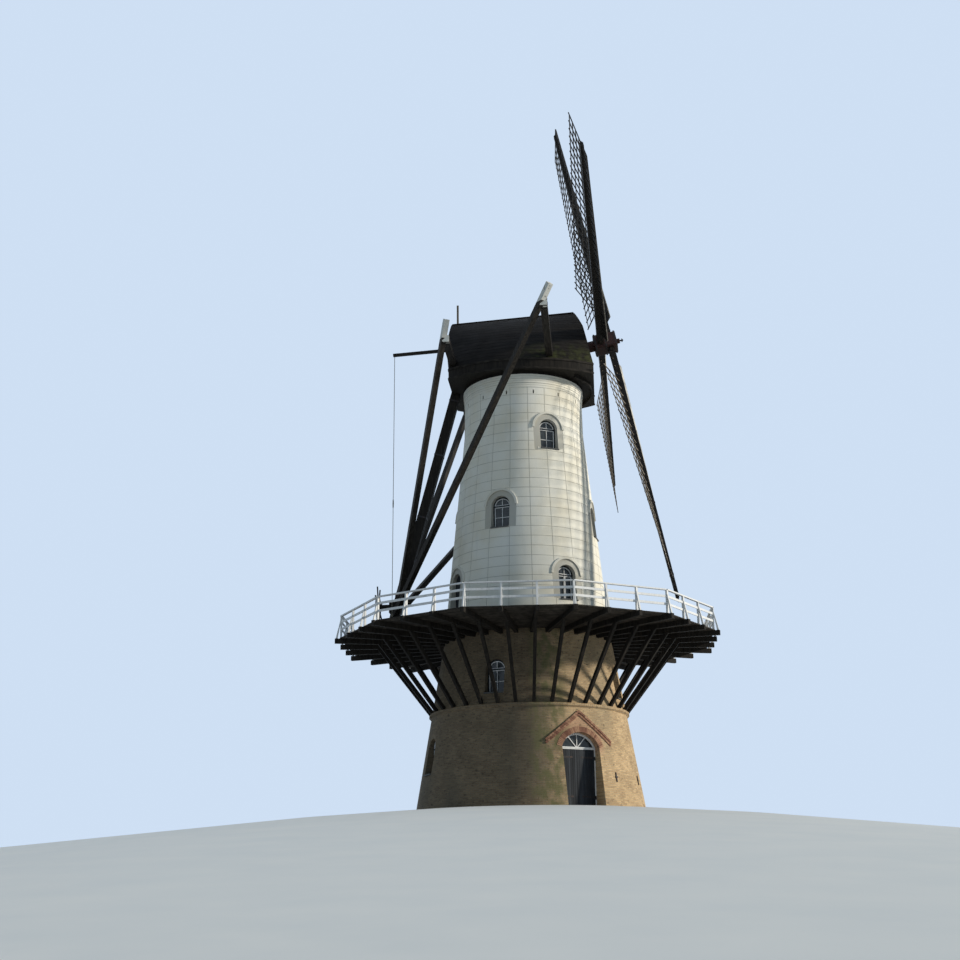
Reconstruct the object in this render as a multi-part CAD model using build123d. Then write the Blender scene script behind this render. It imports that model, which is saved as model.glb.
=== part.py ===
from build123d import *
from math import cos, radians, sin, sqrt, tan
import os

# Round tower windmill with a stage, a turning cap and four lattice sails.
# Millimetres, +Z up. The origin is on the tower's axis at ground level, and
# the sails face -Y at rest. An azimuth is counted from -Y towards +X.

# Clearance between pieces that seat on each other
FIT = 0.3

# Tower
STAGE_LEVEL = 7500
FOOT_RADIUS = 5000
BRICK_TOP_RADIUS = 3740
PLASTER_FOOT_RADIUS = 3740
NECK_LEVEL = 17200
NECK_RADIUS = 2775
PLASTER_TOP_RADIUS = 2745
TOWER_TOP = 19375
ROOM_FOOT_RADIUS = 3900
ROOM_STAGE_RADIUS = 3000
ROOM_TOP_RADIUS = 2230
COLLAR_HEIGHT = 620
COLLAR_STEPS = 3
COLLAR_STEP_OUT = 20
LEDGE_LEVEL = 4230
LEDGE_HEIGHT = 100
LEDGE_SLOPE = 60
LEDGE_OUT = 120

# Openings in the tower, set out from the azimuth of the main door
DOOR_AZIMUTH = -59
SEGMENT_TURN = 22.5
DOOR_WIDTH = 1750
DOOR_TOP = 3030
DOOR_ARCH_RISE = 600
DOOR_LEAF_TOP = 2360
DOOR_FACE_DISTANCE = 4150
WINDOW_WIDTH = 860
GROUND_SILL, GROUND_HEAD = 1530, 3090
LOWER_SILL, LOWER_HEAD = 4680, 6160
STAGE_SILL, STAGE_HEAD = 8760, 10360
MIDDLE_SILL, MIDDLE_HEAD = 12060, 13550
UPPER_SILL, UPPER_HEAD = 15780, 17250
GROUND_TURN = -5
LOWER_TURN = 42
STAGE_TURN = 2.7
MIDDLE_TURNS = (49, 132)
UPPER_TURN = -4
STAGE_DOOR_TURN = 88
STAGE_DOOR_WIDTH = 960
WINDOW_REVEAL = 300
FRAME_WIDTH = 70
FRAME_DEPTH = 90
GLASS_THICKNESS = 8
SILL_HEIGHT = 50
SILL_OUT = 45
HOOD_GAP = 250
HOOD_WIDTH = 100
HOOD_OUT = 65
GABLE_HALF_WIDTH = 1530
GABLE_FOOT = 2740
GABLE_APEX = 3960
GABLE_COURSE = 95
GABLE_OUTS = (75, 45)
VENT_COUNT = 14
VENT_TURN = -17.9
VENT_LEVEL = 18540
VENT_WIDTH, VENT_HEIGHT = 60, 180
VENT_DEPTH = 200

# Main door
LEAF_THICKNESS = 55
DOOR_POST_WIDTH = 50
DOOR_REBATE = 25
FANLIGHT_SHOULDER = 20
LEAF_GAP = 6
HINGE_RADIUS = 14
HINGE_GAP = 0.4
HINGE_EYE_WALL = 12
HINGE_STAND_OUT = 32
HINGE_STRAP_HEIGHT = 70
HINGE_STRAP_LENGTH = 620
HINGE_STRAP_THICKNESS = 8
HINGE_HEIGHTS = (420, 2000)
THRESHOLD = 60

# Floors
SLAB_THICKNESS = 100
FLOOR_THICKNESS = 60
FLOOR_LEVELS = (4000, STAGE_LEVEL, 11300, 15000)

# Stage
STAGE_SIDES = 12
BEAMS_PER_SIDE = 3
DECK_THICKNESS = 40
DECK_CORNER_RADIUS = 8450
DECK_JOINT = 6
DECK_INNER_RADIUS = 3400
BEAM_WIDTH = 150
BEAM_DEPTH = 210
BEAM_OVERHANG = 210
STRUT_WIDTH = 130
STRUT_DEPTH = 150
STRUT_TOP_RADIUS = 6750
STRUT_FOOT_INSET = 20
STRUT_HEEL = 120

# Railing
RAIL_HEIGHT = 1000
RAIL_INSET = 60
POST_SIZE = 85
RAIL_THICKNESS = 35
RAIL_BOARD_HEIGHT = 95
RAIL_CAP_HEIGHT = 55
RAIL_CAP_WIDTH = 110
RAIL_BOARD_LEVELS = (330, 650)
RAIL_END_GAP = 6
STAY_SIZE = 60
STAY_TOP = 840
STAY_NOTCH = 10

# Cap
CURB_GAP = 0.4
CURB_HEIGHT = 180
CURB_INNER_RADIUS = 2330
CURB_OUTER_RADIUS = 2760
SHEER_SPACING = 3000
SHEER_WIDTH = 280
CROSS_BEAM_DEPTH = 280
SHEER_REAR, SHEER_FRONT = -3180, 2900
CROSS_BEAM_PLACES = (-2300, 0, 2300)
EAVE_LEVEL = 20050
EAVE_HALF_WIDTH = 3120
EAVE_END_HALF_WIDTH = 2050
CAP_HALF_LENGTH = 3400
RIDGE_REAR_HEIGHT = 23180
RIDGE_FRONT_HEIGHT = 23560
ROOF_BULGE = 330
ROOF_THICKNESS = 70
CAP_WALL_THICKNESS = 60
FRONT_PROFILE = ((2470, 24000), (2540, 23560), (2960, 22280), (3240, 20700), (3380, EAVE_LEVEL))
REAR_PROFILE = ((-3370, 24000), (-3450, 22070), (-3400, 20700), (-3325, EAVE_LEVEL))
APRON_RADIUS = 3300
APRON_THICKNESS = 45
APRON_FOOT = 19360
APRON_HALF_TURN = 40
SKIRT_FOOT = 19515
SKIRT_THICKNESS = 60
SOFFIT_GAP = 20
FINIAL_HEIGHT = 1080
FINIAL_SIZE = 90
FINIAL_BACK = 3100

# Rotor
SHAFT_TILT = 10.4
HUB_FORWARD = 3990
HUB_HEIGHT = 21850
SHAFT_RADIUS = 260
SHAFT_HOLE_GAP = 90
SHAFT_REAR = 6300
BEARING_GAP = 0.5
BEARING_WIDTH = 400
FRONT_BEARING_FORWARD = 2650
REAR_BEARING_FORWARD = -1900
BEARING_DEPTH = 480
SADDLE_DEPTH = 110
POLL_SIZE = 760
POLL_LENGTH = 1080
BOSS_RADIUS = 120
BOSS_LENGTH = 160
SAIL_RADIUS = 13690
REST_TURN = 77.4
STOCK_OFFSET = 225
STOCK_WIDTH, STOCK_THICKNESS = 340, 300
STOCK_TIP_WIDTH, STOCK_TIP_THICKNESS = 200, 150
LEAD_HEEL = 1050
LATTICE_HEEL = 2350
LATTICE_TIP_INSET = 60
BAR_SPACING = 430
BAR_WIDTH, BAR_THICKNESS = 50, 36
LATH_WIDTH, LATH_THICKNESS = 40, 28
LATTICE_WIDTH = 1850
LATH_INSET = 120
LATH_COUNT = 4
HEEL_WEATHER, TIP_WEATHER = 21, 5
LEAD_WIDTH = 610
BOARD_COUNT = 4
BOARD_THICKNESS = 24
BOARD_GAP = 30
BOARD_SEAT = 0.5

# Tail
LONG_SPRUIT_FORWARD = 1400
LONG_SPRUIT_HALF = 8600
SPRUIT_SIZE = 300
SPRUIT_LEVEL = 20290
SHORT_SPRUIT_FORWARD = -3110
SHORT_SPRUIT_HALF = 5150
TAIL_TOP_BACK = 3000
TAIL_SLOPE = 0.265
TAIL_WIDTH, TAIL_DEPTH = 400, 420
TAIL_FOOT_LEVEL = 8150
LONG_BRACE_LEVEL = 8950
SHORT_BRACE_LEVEL = 9800
BRACE_WIDTH, BRACE_DEPTH = 230, 240
BRACE_SET_BACK = 120
BRACE_HEAD = 900
WHEEL_LEVEL = 9300
WHEEL_RADIUS = 560
WHEEL_HANDLE_RADIUS = 980
WHEEL_SPOKES = 8
WHEEL_RIM = 90
DRUM_RADIUS = 130
DRUM_LENGTH = 480
WINCH_GAP = 5
AXLE_RADIUS = 45
AXLE_GAP = 0.5
BRACKET_THICKNESS = 70
BRACKET_HEIGHT = 560
BRACKET_SEAT = 20
SPOKE_WIDTH = 55
LEVER_LEVEL = 21400
LEVER_SIDE = -1150
LEVER_LENGTH = 2890
LEVER_PIVOT_BACK = 3180
LEVER_TAIL = 500
LEVER_SIZE = 130
LEVER_SLOT_ROOM = 40
LEVER_CHEEK = 45
LEVER_DROP = 160
ROPE_DIAMETER = 26
ROPE_INSET = 70
ROPE_FOOT = 8750
KNOT_RADIUS = 42
KNOT_NECK_RADIUS = 24
KNOT_LENGTH = 130

os.makedirs("parts", exist_ok=True)
UP = Vector(0, 0, 1)


def heading(azimuth):
    """Unit vector pointing out from the tower's axis."""
    angle = radians(azimuth)
    return Vector(sin(angle), -cos(angle), 0)


def radial_plane(azimuth):
    """Upright plane through the axis, with x outwards and y up."""
    out = heading(azimuth)
    return Plane(origin=(0, 0, 0), x_dir=out, z_dir=out.cross(UP))


def facade_plane(azimuth, distance=0):
    """Upright plane across the heading, with x along the wall and y up."""
    out = heading(azimuth)
    return Plane(origin=out * distance, x_dir=UP.cross(out), z_dir=out)


def polygon(points):
    return make_face(Polyline(*points, close=True))


def radial_slab(points, width, azimuth):
    """Outline of (distance from the axis, height) given a width across the heading."""
    return extrude(radial_plane(azimuth) * polygon(points), width / 2, both=True)


def ring(points, start=0, turn=360):
    """Outline of (radius, height) turned about the tower's axis from an azimuth."""
    solid = revolve(Plane.XZ * polygon(points), Axis.Z, turn)
    return solid.rotate(Axis.Z, start - 90)


def beam(foot, head, width, depth, below=0, above=0):
    """Squared timber between two points, its width level, run on past both ends."""
    run = head - foot
    along = run.normalized()
    side = UP.cross(along) if abs(along.Z) < 0.999 else Vector(1, 0, 0)
    plane = Plane(origin=foot - along * below, x_dir=side, z_dir=along)
    return extrude(plane * Rectangle(width, depth), run.length + below + above)


def box_at(low, high):
    """Block between two opposite corners."""
    size = [b - a for a, b in zip(low, high)]
    middle = [(a + b) / 2 for a, b in zip(low, high)]
    return Pos(*middle) * Box(*size)


def solids_of(shapes):
    """One node that holds several separate solids."""
    return Compound(children=[solid for shape in shapes for solid in shape.solids()])


def save(shape, name):
    export_step(shape, f"parts/{name}.step")


def slope_radius(level, foot, top, foot_radius, top_radius):
    return foot_radius + (top_radius - foot_radius) * (level - foot) / (top - foot)


def wall_radius(level):
    """Outer face of the tower at a height."""
    if level < STAGE_LEVEL:
        return slope_radius(level, 0, STAGE_LEVEL, FOOT_RADIUS, BRICK_TOP_RADIUS)
    if level < NECK_LEVEL:
        return slope_radius(level, STAGE_LEVEL, NECK_LEVEL, PLASTER_FOOT_RADIUS, NECK_RADIUS)
    return slope_radius(level, NECK_LEVEL, TOWER_TOP, NECK_RADIUS, PLASTER_TOP_RADIUS)


def room_radius(level):
    """Inner face of the tower at a height."""
    if level < STAGE_LEVEL:
        return slope_radius(level, 0, STAGE_LEVEL, ROOM_FOOT_RADIUS, ROOM_STAGE_RADIUS)
    return slope_radius(level, STAGE_LEVEL, TOWER_TOP, ROOM_STAGE_RADIUS, ROOM_TOP_RADIUS)


def arch_face(width, sill, head, rise):
    half = width / 2
    spring = head - rise
    sides = Polyline((-half, spring), (-half, sill), (half, sill), (half, spring))
    return make_face(sides + ThreePointArc((half, spring), (0, head), (-half, spring)))


def arch_block(azimuth, width, sill, head, near, far, rise=None):
    """Arched block through the wall between two distances from the axis."""
    face = arch_face(width, sill, head, width / 2 if rise is None else rise)
    return extrude(facade_plane(azimuth, near) * face, far - near)


# Windows as (turn from the main door, sill, head), and the doors on the stage
WINDOWS = [(GROUND_TURN + 90 * k, GROUND_SILL, GROUND_HEAD) for k in (1, 2, 3)]
WINDOWS += [(LOWER_TURN + 90 * k, LOWER_SILL, LOWER_HEAD) for k in range(4)]
WINDOWS += [(STAGE_TURN + 180 * k, STAGE_SILL, STAGE_HEAD) for k in range(2)]
WINDOWS += [(turn + 180 * k, MIDDLE_SILL, MIDDLE_HEAD) for turn in MIDDLE_TURNS for k in range(2)]
WINDOWS += [(UPPER_TURN + 180 * k, UPPER_SILL, UPPER_HEAD) for k in range(2)]
STAGE_DOORS = [STAGE_DOOR_TURN, STAGE_DOOR_TURN + 180]


def in_segment(turn, first):
    """Whether a turn from the main door falls in the quarter of the wall that starts at another."""
    return first <= (turn + SEGMENT_TURN) % 360 - SEGMENT_TURN < first + 90


def openings_cut(wall, low, high, first):
    """Cuts the windows and stage doors of one segment out of its wall."""
    through = FOOT_RADIUS + LEDGE_OUT
    for turn, sill, head in WINDOWS:
        if low <= sill < high and in_segment(turn, first):
            wall -= arch_block(DOOR_AZIMUTH + turn, WINDOW_WIDTH, sill, head, 0, through)
    for turn in STAGE_DOORS:
        if low <= STAGE_LEVEL < high and in_segment(turn, first):
            azimuth = DOOR_AZIMUTH + turn
            wall -= arch_block(azimuth, STAGE_DOOR_WIDTH, STAGE_LEVEL, STAGE_HEAD, 0, through)
    return wall


def vent_slots(first):
    """Blind vent slots under the collar in one segment."""
    slots = []
    for k in range(VENT_COUNT):
        turn = VENT_TURN + 360 / VENT_COUNT * k
        if in_segment(turn, first):
            plane = facade_plane(DOOR_AZIMUTH + turn, wall_radius(VENT_LEVEL) - VENT_DEPTH)
            slots.append(extrude(plane * (Pos(0, VENT_LEVEL) * Rectangle(VENT_WIDTH, VENT_HEIGHT)), 2 * VENT_DEPTH))
    return slots


def brick_profile():
    ledge_foot = LEDGE_LEVEL - LEDGE_HEIGHT
    ledge_radius = wall_radius(LEDGE_LEVEL) + LEDGE_OUT
    slope_foot = ledge_foot - LEDGE_SLOPE
    return [(ROOM_FOOT_RADIUS, 0), (FOOT_RADIUS, 0), (wall_radius(slope_foot), slope_foot),
            (ledge_radius, ledge_foot), (ledge_radius, LEDGE_LEVEL), (wall_radius(LEDGE_LEVEL), LEDGE_LEVEL),
            (BRICK_TOP_RADIUS, STAGE_LEVEL), (ROOM_STAGE_RADIUS, STAGE_LEVEL)]


def plaster_profile():
    collar_foot = TOWER_TOP - COLLAR_HEIGHT
    step_height = COLLAR_HEIGHT / COLLAR_STEPS
    points = [(ROOM_STAGE_RADIUS, STAGE_LEVEL), (PLASTER_FOOT_RADIUS, STAGE_LEVEL), (NECK_RADIUS, NECK_LEVEL),
              (wall_radius(collar_foot), collar_foot)]
    for step in range(COLLAR_STEPS):
        radius = wall_radius(collar_foot) + COLLAR_STEP_OUT * (step + 1)
        points += [(radius, collar_foot + step * step_height), (radius, collar_foot + (step + 1) * step_height)]
    return points + [(ROOM_TOP_RADIUS, TOWER_TOP)]


def build_walls():
    """Four upright segments of brick below the stage and four of plastered brick above it."""
    for k, side in enumerate(("door", "right", "rear", "left")):
        first = 90 * k - SEGMENT_TURN
        start = DOOR_AZIMUTH + first
        lower = openings_cut(ring(brick_profile(), start, 90), 0, STAGE_LEVEL, first)
        if k == 0:
            save_door_segment(lower)
        else:
            save(lower, f"brick_wall_{side}")
        upper = openings_cut(ring(plaster_profile(), start, 90), STAGE_LEVEL, TOWER_TOP, first)
        save(upper.cut(*vent_slots(first)), f"plaster_wall_{side}")


def save_door_segment(segment):
    """The main door's segment is parted at the jambs, so the doorway stays open below the arch."""
    reach = FOOT_RADIUS + LEDGE_OUT
    segment -= arch_block(DOOR_AZIMUTH, DOOR_WIDTH, 0, DOOR_TOP, 0, reach, DOOR_ARCH_RISE)
    plane = facade_plane(DOOR_AZIMUTH)
    half = DOOR_WIDTH / 2
    strips = (("over_door", -half, half), ("beside_door_left", -reach, -half), ("beside_door_right", half, reach))
    for name, left, right in strips:
        face = polygon([(left, 0), (right, 0), (right, STAGE_LEVEL), (left, STAGE_LEVEL)])
        save(segment & extrude(plane * face, reach), f"brick_wall_{name}")


def floor_disc(foot, thickness):
    """Round floor fitted to the battered walls."""
    top = foot + thickness
    return ring([(0, foot), (room_radius(foot) - FIT, foot), (room_radius(top) - FIT, top), (0, top)])


def build_floors():
    save(floor_disc(0, SLAB_THICKNESS), "ground_floor")
    upper = [floor_disc(level - FLOOR_THICKNESS, FLOOR_THICKNESS) for level in FLOOR_LEVELS]
    save(solids_of(upper), "upper_floors")


def window_distance(sill, head):
    """Distance from the axis to a window frame's outer face."""
    return wall_radius((sill + head) / 2) - WINDOW_REVEAL


def build_windows():
    frames, panes, sills = [], [], []
    for turn, sill, head in WINDOWS:
        azimuth = DOOR_AZIMUTH + turn
        face = window_distance(sill, head)
        outer = arch_block(azimuth, WINDOW_WIDTH - 2 * FIT, sill + FIT, head - FIT, face - FRAME_DEPTH, face)
        inner_width = WINDOW_WIDTH - 2 * FRAME_WIDTH
        inner = arch_block(azimuth, inner_width, sill + FRAME_WIDTH, head - FRAME_WIDTH, 0, FOOT_RADIUS)
        frames.append(outer - inner)
        middle = face - FRAME_DEPTH / 2
        panes.append(arch_block(azimuth, inner_width - 2 * FIT, sill + FRAME_WIDTH + FIT,
                                head - FRAME_WIDTH - FIT, middle, middle + GLASS_THICKNESS))
        outer_face = wall_radius(sill) + SILL_OUT
        half = WINDOW_WIDTH / 2 - FIT
        board = polygon([(-half, sill + FIT), (half, sill + FIT), (half, sill + SILL_HEIGHT), (-half, sill + SILL_HEIGHT)])
        sills.append(extrude(facade_plane(azimuth, face + FIT) * board, outer_face - face - FIT))
    panes.append(fanlight_glass())
    save(solids_of(frames), "window_frames")
    save(solids_of(panes), "window_glass")
    save(solids_of(sills), "window_sills")


def wall_skin(levels, out):
    """Skin of an even thickness on the round wall, between the lowest and highest level."""
    inside = [(wall_radius(level), level) for level in levels]
    outside = [(wall_radius(level) + out, level) for level in reversed(levels)]
    return ring(inside + outside)


def build_hoods():
    """Raised plaster arches over the openings above the stage, lying on the round wall."""
    hoods = []
    tall = [(turn, sill, head, WINDOW_WIDTH) for turn, sill, head in WINDOWS if sill > STAGE_LEVEL]
    tall += [(turn, STAGE_LEVEL, STAGE_HEAD, STAGE_DOOR_WIDTH) for turn in STAGE_DOORS]
    skin = wall_skin((STAGE_LEVEL, NECK_LEVEL, TOWER_TOP), HOOD_OUT)
    for turn, sill, head, width in tall:
        spring = head - width / 2
        inner = width / 2 + HOOD_GAP
        outer = inner + HOOD_WIDTH
        arch = make_face(ThreePointArc((-outer, 0), (0, outer), (outer, 0)) + Line((outer, 0), (inner, 0))
                         + ThreePointArc((inner, 0), (0, inner), (-inner, 0)) + Line((-inner, 0), (-outer, 0)))
        block = extrude(facade_plane(DOOR_AZIMUTH + turn) * (Pos(0, spring) * arch), FOOT_RADIUS)
        hoods.append(skin & block)
    save(solids_of(hoods), "window_hoods")


def build_door_gable():
    """Two stepped courses of brick that slope over the main door, lying on the battered wall."""
    half = GABLE_HALF_WIDTH
    drop = GABLE_COURSE * sqrt(1 + ((GABLE_APEX - GABLE_FOOT) / half) ** 2)
    courses = []
    for course, out in enumerate(GABLE_OUTS):
        foot, apex = GABLE_FOOT - drop * course, GABLE_APEX - drop * course
        chevron = polygon([(-half, foot), (0, apex), (half, foot), (half, foot - drop), (0, apex - drop),
                           (-half, foot - drop)])
        skin = wall_skin((foot - drop, apex), out)
        courses.append(skin & extrude(facade_plane(DOOR_AZIMUTH) * chevron, FOOT_RADIUS * 2))
    save(courses[0].fuse(*courses[1:]), "door_gable")


def fanlight_glass():
    clear_width = DOOR_WIDTH - 2 * DOOR_POST_WIDTH - 2 * FIT
    foot = DOOR_LEAF_TOP + DOOR_POST_WIDTH + FIT
    head = DOOR_TOP - DOOR_POST_WIDTH - FIT
    rise = head - foot - FANLIGHT_SHOULDER
    middle = DOOR_FACE_DISTANCE - LEAF_THICKNESS / 2
    return arch_block(DOOR_AZIMUTH, clear_width, foot, head, middle, middle + GLASS_THICKNESS, rise)


def door_hinge_place(side):
    """Distance along the facade of a leaf's hinge, side -1 or 1."""
    return side * (DOOR_WIDTH / 2 - DOOR_POST_WIDTH - LEAF_GAP / 2)


def build_main_door():
    """Frame with a fanlight opening, two leaves that swing outwards, and their hooks."""
    rear = DOOR_FACE_DISTANCE - LEAF_THICKNESS
    frame = arch_block(DOOR_AZIMUTH, DOOR_WIDTH - 2 * FIT, 0, DOOR_TOP - FIT, rear - DOOR_REBATE,
                       DOOR_FACE_DISTANCE, DOOR_ARCH_RISE)
    clear = DOOR_WIDTH - 2 * DOOR_POST_WIDTH
    light_foot = DOOR_LEAF_TOP + DOOR_POST_WIDTH
    light_head = DOOR_TOP - DOOR_POST_WIDTH
    light_rise = light_head - light_foot - FANLIGHT_SHOULDER
    plane = facade_plane(DOOR_AZIMUTH)
    middle = (THRESHOLD + DOOR_LEAF_TOP) / 2
    frame -= extrude(plane * (Pos(0, middle) * Rectangle(clear, DOOR_LEAF_TOP - THRESHOLD)), FOOT_RADIUS)
    frame -= arch_block(DOOR_AZIMUTH, clear, light_foot, light_head, 0, FOOT_RADIUS, light_rise)
    save(frame, "door_frame")
    hooks = []
    for side, name in ((-1, "left"), (1, "right")):
        hinge_x = door_hinge_place(side)
        inner_x = side * LEAF_GAP / 2
        leaf_x = hinge_x - side * LEAF_GAP / 2
        low, high = sorted((inner_x, leaf_x))
        board = polygon([(low, THRESHOLD + LEAF_GAP), (high, THRESHOLD + LEAF_GAP),
                         (high, DOOR_LEAF_TOP - LEAF_GAP), (low, DOOR_LEAF_TOP - LEAF_GAP)])
        leaf = extrude(facade_plane(DOOR_AZIMUTH, rear) * board, LEAF_THICKNESS)
        for height in HINGE_HEIGHTS:
            leaf += hinge_strap(hinge_x, side, height)
            hooks.append(hinge_hook(hinge_x, side, height))
        save(leaf, f"door_leaf_{name}")
    save(solids_of(hooks), "door_hooks")


def hinge_outline(hinge_x, foot, height, face):
    """Outline round a leaf's hinge line, x along the facade and y out, raised from a foot level."""
    out = heading(DOOR_AZIMUTH)
    along = UP.cross(out)
    origin = along * hinge_x + out * (DOOR_FACE_DISTANCE + HINGE_STAND_OUT) + UP * foot
    return extrude(Plane(origin=origin, x_dir=along, z_dir=-UP) * face, -height)


def hinge_strap(hinge_x, side, height):
    """Iron strap on the leaf with an eye round the hook's pin."""
    eye_radius = HINGE_RADIUS + HINGE_GAP + HINGE_EYE_WALL
    back, front = -HINGE_STAND_OUT, HINGE_STRAP_THICKNESS - HINGE_STAND_OUT
    strap_end = -side * HINGE_STRAP_LENGTH
    neck = -side * eye_radius
    flat = polygon([(neck, back), (strap_end, back), (strap_end, front), (neck, front)])
    web = polygon([(neck, back), (neck, HINGE_EYE_WALL), (0, HINGE_EYE_WALL), (-side * LEAF_GAP, front),
                   (-side * LEAF_GAP, back)])
    faces = (flat, web, Circle(eye_radius))
    strap = [hinge_outline(hinge_x, height, HINGE_STRAP_HEIGHT, face) for face in faces]
    hole = hinge_outline(hinge_x, height, HINGE_STRAP_HEIGHT, Circle(HINGE_RADIUS + HINGE_GAP))
    return strap[0] + strap[1] + strap[2] - hole


def hinge_hook(hinge_x, side, height):
    """Pin on a bracket screwed to the door post, carrying the strap's eye."""
    foot = height - HINGE_STRAP_HEIGHT
    pin = hinge_outline(hinge_x, foot, 2 * HINGE_STRAP_HEIGHT - LEAF_GAP, Circle(HINGE_RADIUS))
    post = side * (DOOR_POST_WIDTH / 2)
    back = -HINGE_STAND_OUT
    arm = polygon([(-side * HINGE_RADIUS, -HINGE_RADIUS), (side * LEAF_GAP, back), (post, back), (post, HINGE_RADIUS),
                   (-side * HINGE_RADIUS, HINGE_RADIUS)])
    return pin + hinge_outline(hinge_x, foot, HINGE_STRAP_HEIGHT - FIT, arm)


def build_stage_doors():
    """Boarded doors with arched heads that open onto the stage."""
    doors = []
    for turn in STAGE_DOORS:
        face = window_distance(STAGE_LEVEL, STAGE_HEAD)
        doors.append(arch_block(DOOR_AZIMUTH + turn, STAGE_DOOR_WIDTH - 2 * FIT, STAGE_LEVEL + FIT,
                                STAGE_HEAD - FIT, face - FRAME_DEPTH, face))
    save(solids_of(doors), "stage_doors")


def side_distance(corner_radius):
    """Distance from the axis to the middle of a stage side."""
    return corner_radius * cos(radians(180 / STAGE_SIDES))


def deck_edge_radius(turn):
    """Distance from the axis to the deck's edge, turn counted from a corner."""
    side = 360 / STAGE_SIDES
    off_middle = turn % side - side / 2
    return side_distance(DECK_CORNER_RADIUS) / cos(radians(off_middle))


def corner_azimuth(index):
    """A corner of the stage: the main door is under the middle of a side."""
    side = 360 / STAGE_SIDES
    return DOOR_AZIMUTH + side * (index - 0.5)


def build_stage_deck():
    side = 360 / STAGE_SIDES
    underside = STAGE_LEVEL - DECK_THICKNESS
    opening = wall_radius(underside) + FIT
    panels = []
    for index in range(STAGE_SIDES):
        plane = facade_plane(corner_azimuth(index) + side / 2)
        reach = side_distance(DECK_CORNER_RADIUS)
        slope = tan(radians(side / 2))
        near = DECK_INNER_RADIUS
        outline = [(-near * slope + DECK_JOINT / 2, near), (near * slope - DECK_JOINT / 2, near),
                   (reach * slope - DECK_JOINT / 2, reach), (-reach * slope + DECK_JOINT / 2, reach)]
        flat = Plane(origin=UP * underside, x_dir=plane.x_dir, z_dir=-UP)
        panel = extrude(flat * polygon(outline), -DECK_THICKNESS)
        panels.append(panel - extrude(Circle(opening), TOWER_TOP))
    save(solids_of(panels), "stage_deck")


def build_stage_frame():
    """Radial beams that run past the deck, each propped by a strut from the ledge."""
    count = STAGE_SIDES * BEAMS_PER_SIDE
    beam_top = STAGE_LEVEL - DECK_THICKNESS
    beam_foot = beam_top - BEAM_DEPTH
    beams, struts = [], []
    for index in range(count):
        turn = 360 / count * index
        azimuth = corner_azimuth(0) + turn
        end = deck_edge_radius(turn) + BEAM_OVERHANG
        inner_top = wall_radius(beam_top) + FIT
        inner_foot = wall_radius(beam_foot) + FIT
        beams.append(radial_slab([(inner_foot, beam_foot), (end, beam_foot), (end, beam_top), (inner_top, beam_top)],
                                 BEAM_WIDTH, azimuth))
        foot_in = wall_radius(LEDGE_LEVEL) + 2 * FIT
        foot_out = foot_in + LEDGE_OUT - STRUT_FOOT_INSET
        lean = sqrt((STRUT_TOP_RADIUS - foot_out) ** 2 + (beam_foot - LEDGE_LEVEL) ** 2)
        across = STRUT_DEPTH * lean / (beam_foot - LEDGE_LEVEL)
        top = beam_foot - FIT
        heel = LEDGE_LEVEL + STRUT_HEEL
        struts.append(radial_slab([(foot_in, LEDGE_LEVEL + FIT), (foot_out, LEDGE_LEVEL + FIT), (STRUT_TOP_RADIUS, top),
                                   (STRUT_TOP_RADIUS - across, top), (foot_in, heel)],
                                  STRUT_WIDTH, azimuth))
    save(solids_of(beams), "stage_beams")
    save(solids_of(struts), "stage_struts")


def rail_point(index, share):
    """Point on a rail side, by its share of the way from one corner to the next."""
    radius = DECK_CORNER_RADIUS - RAIL_INSET
    first = heading(corner_azimuth(index)) * radius
    last = heading(corner_azimuth(index + 1)) * radius
    return first + (last - first) * share


def railing_side(index):
    """One side: a corner post, two posts between, a top rail and two boards, stayed to the beam ends."""
    side = 360 / STAGE_SIDES
    facing = heading(corner_azimuth(index) + side / 2)
    start = rail_point(index, 0)
    end = rail_point(index, 1) - UP.cross(facing) * (POST_SIZE / 2 + RAIL_END_GAP)
    cap_foot = STAGE_LEVEL + RAIL_HEIGHT - RAIL_CAP_HEIGHT
    panel = rail_board(start, end, facing, cap_foot, RAIL_CAP_WIDTH, RAIL_CAP_HEIGHT)
    for height in RAIL_BOARD_LEVELS:
        panel += rail_board(start, end, facing, STAGE_LEVEL + height, RAIL_THICKNESS, RAIL_BOARD_HEIGHT)
    bay = side / BEAMS_PER_SIDE
    for post in range(BEAMS_PER_SIDE):
        off_middle = post * bay - side / 2
        out = heading(corner_azimuth(index) + post * bay)
        share = (1 + tan(radians(off_middle)) / tan(radians(side / 2))) / 2
        foot = rail_point(index, share) + UP * (STAGE_LEVEL + FIT)
        panel += beam_upright(foot, out, POST_SIZE, RAIL_HEIGHT - RAIL_CAP_HEIGHT)
        radius = sqrt(foot.X ** 2 + foot.Y ** 2)
        panel += rail_stay(corner_azimuth(index) + post * bay, radius, post * bay)
    return panel


def rail_board(start, end, facing, foot, thickness, height):
    plane = Plane(origin=start + UP * (foot + height / 2), x_dir=facing, z_dir=(end - start).normalized())
    return extrude(plane * Rectangle(thickness, height), (end - start).length)


def beam_upright(foot, out, size, height):
    plane = Plane(origin=foot, x_dir=out, z_dir=UP)
    return extrude(plane * Rectangle(size, size), height)


def rail_stay(azimuth, post_radius, turn):
    """Raking stay from a post down to the beam's end."""
    foot = deck_edge_radius(turn) + BEAM_OVERHANG - STAY_SIZE
    seat = STAGE_LEVEL - DECK_THICKNESS + FIT
    top = STAGE_LEVEL + STAY_TOP
    face = post_radius + POST_SIZE / 2 - STAY_NOTCH
    outline = [(foot - STAY_SIZE, seat), (foot + STAY_SIZE / 2, seat), (face, top), (face, top - STAY_SIZE * 3)]
    return radial_slab(outline, STAY_SIZE, azimuth)


def build_railing():
    save(solids_of([railing_side(index) for index in range(STAGE_SIDES)]), "stage_railing")


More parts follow.
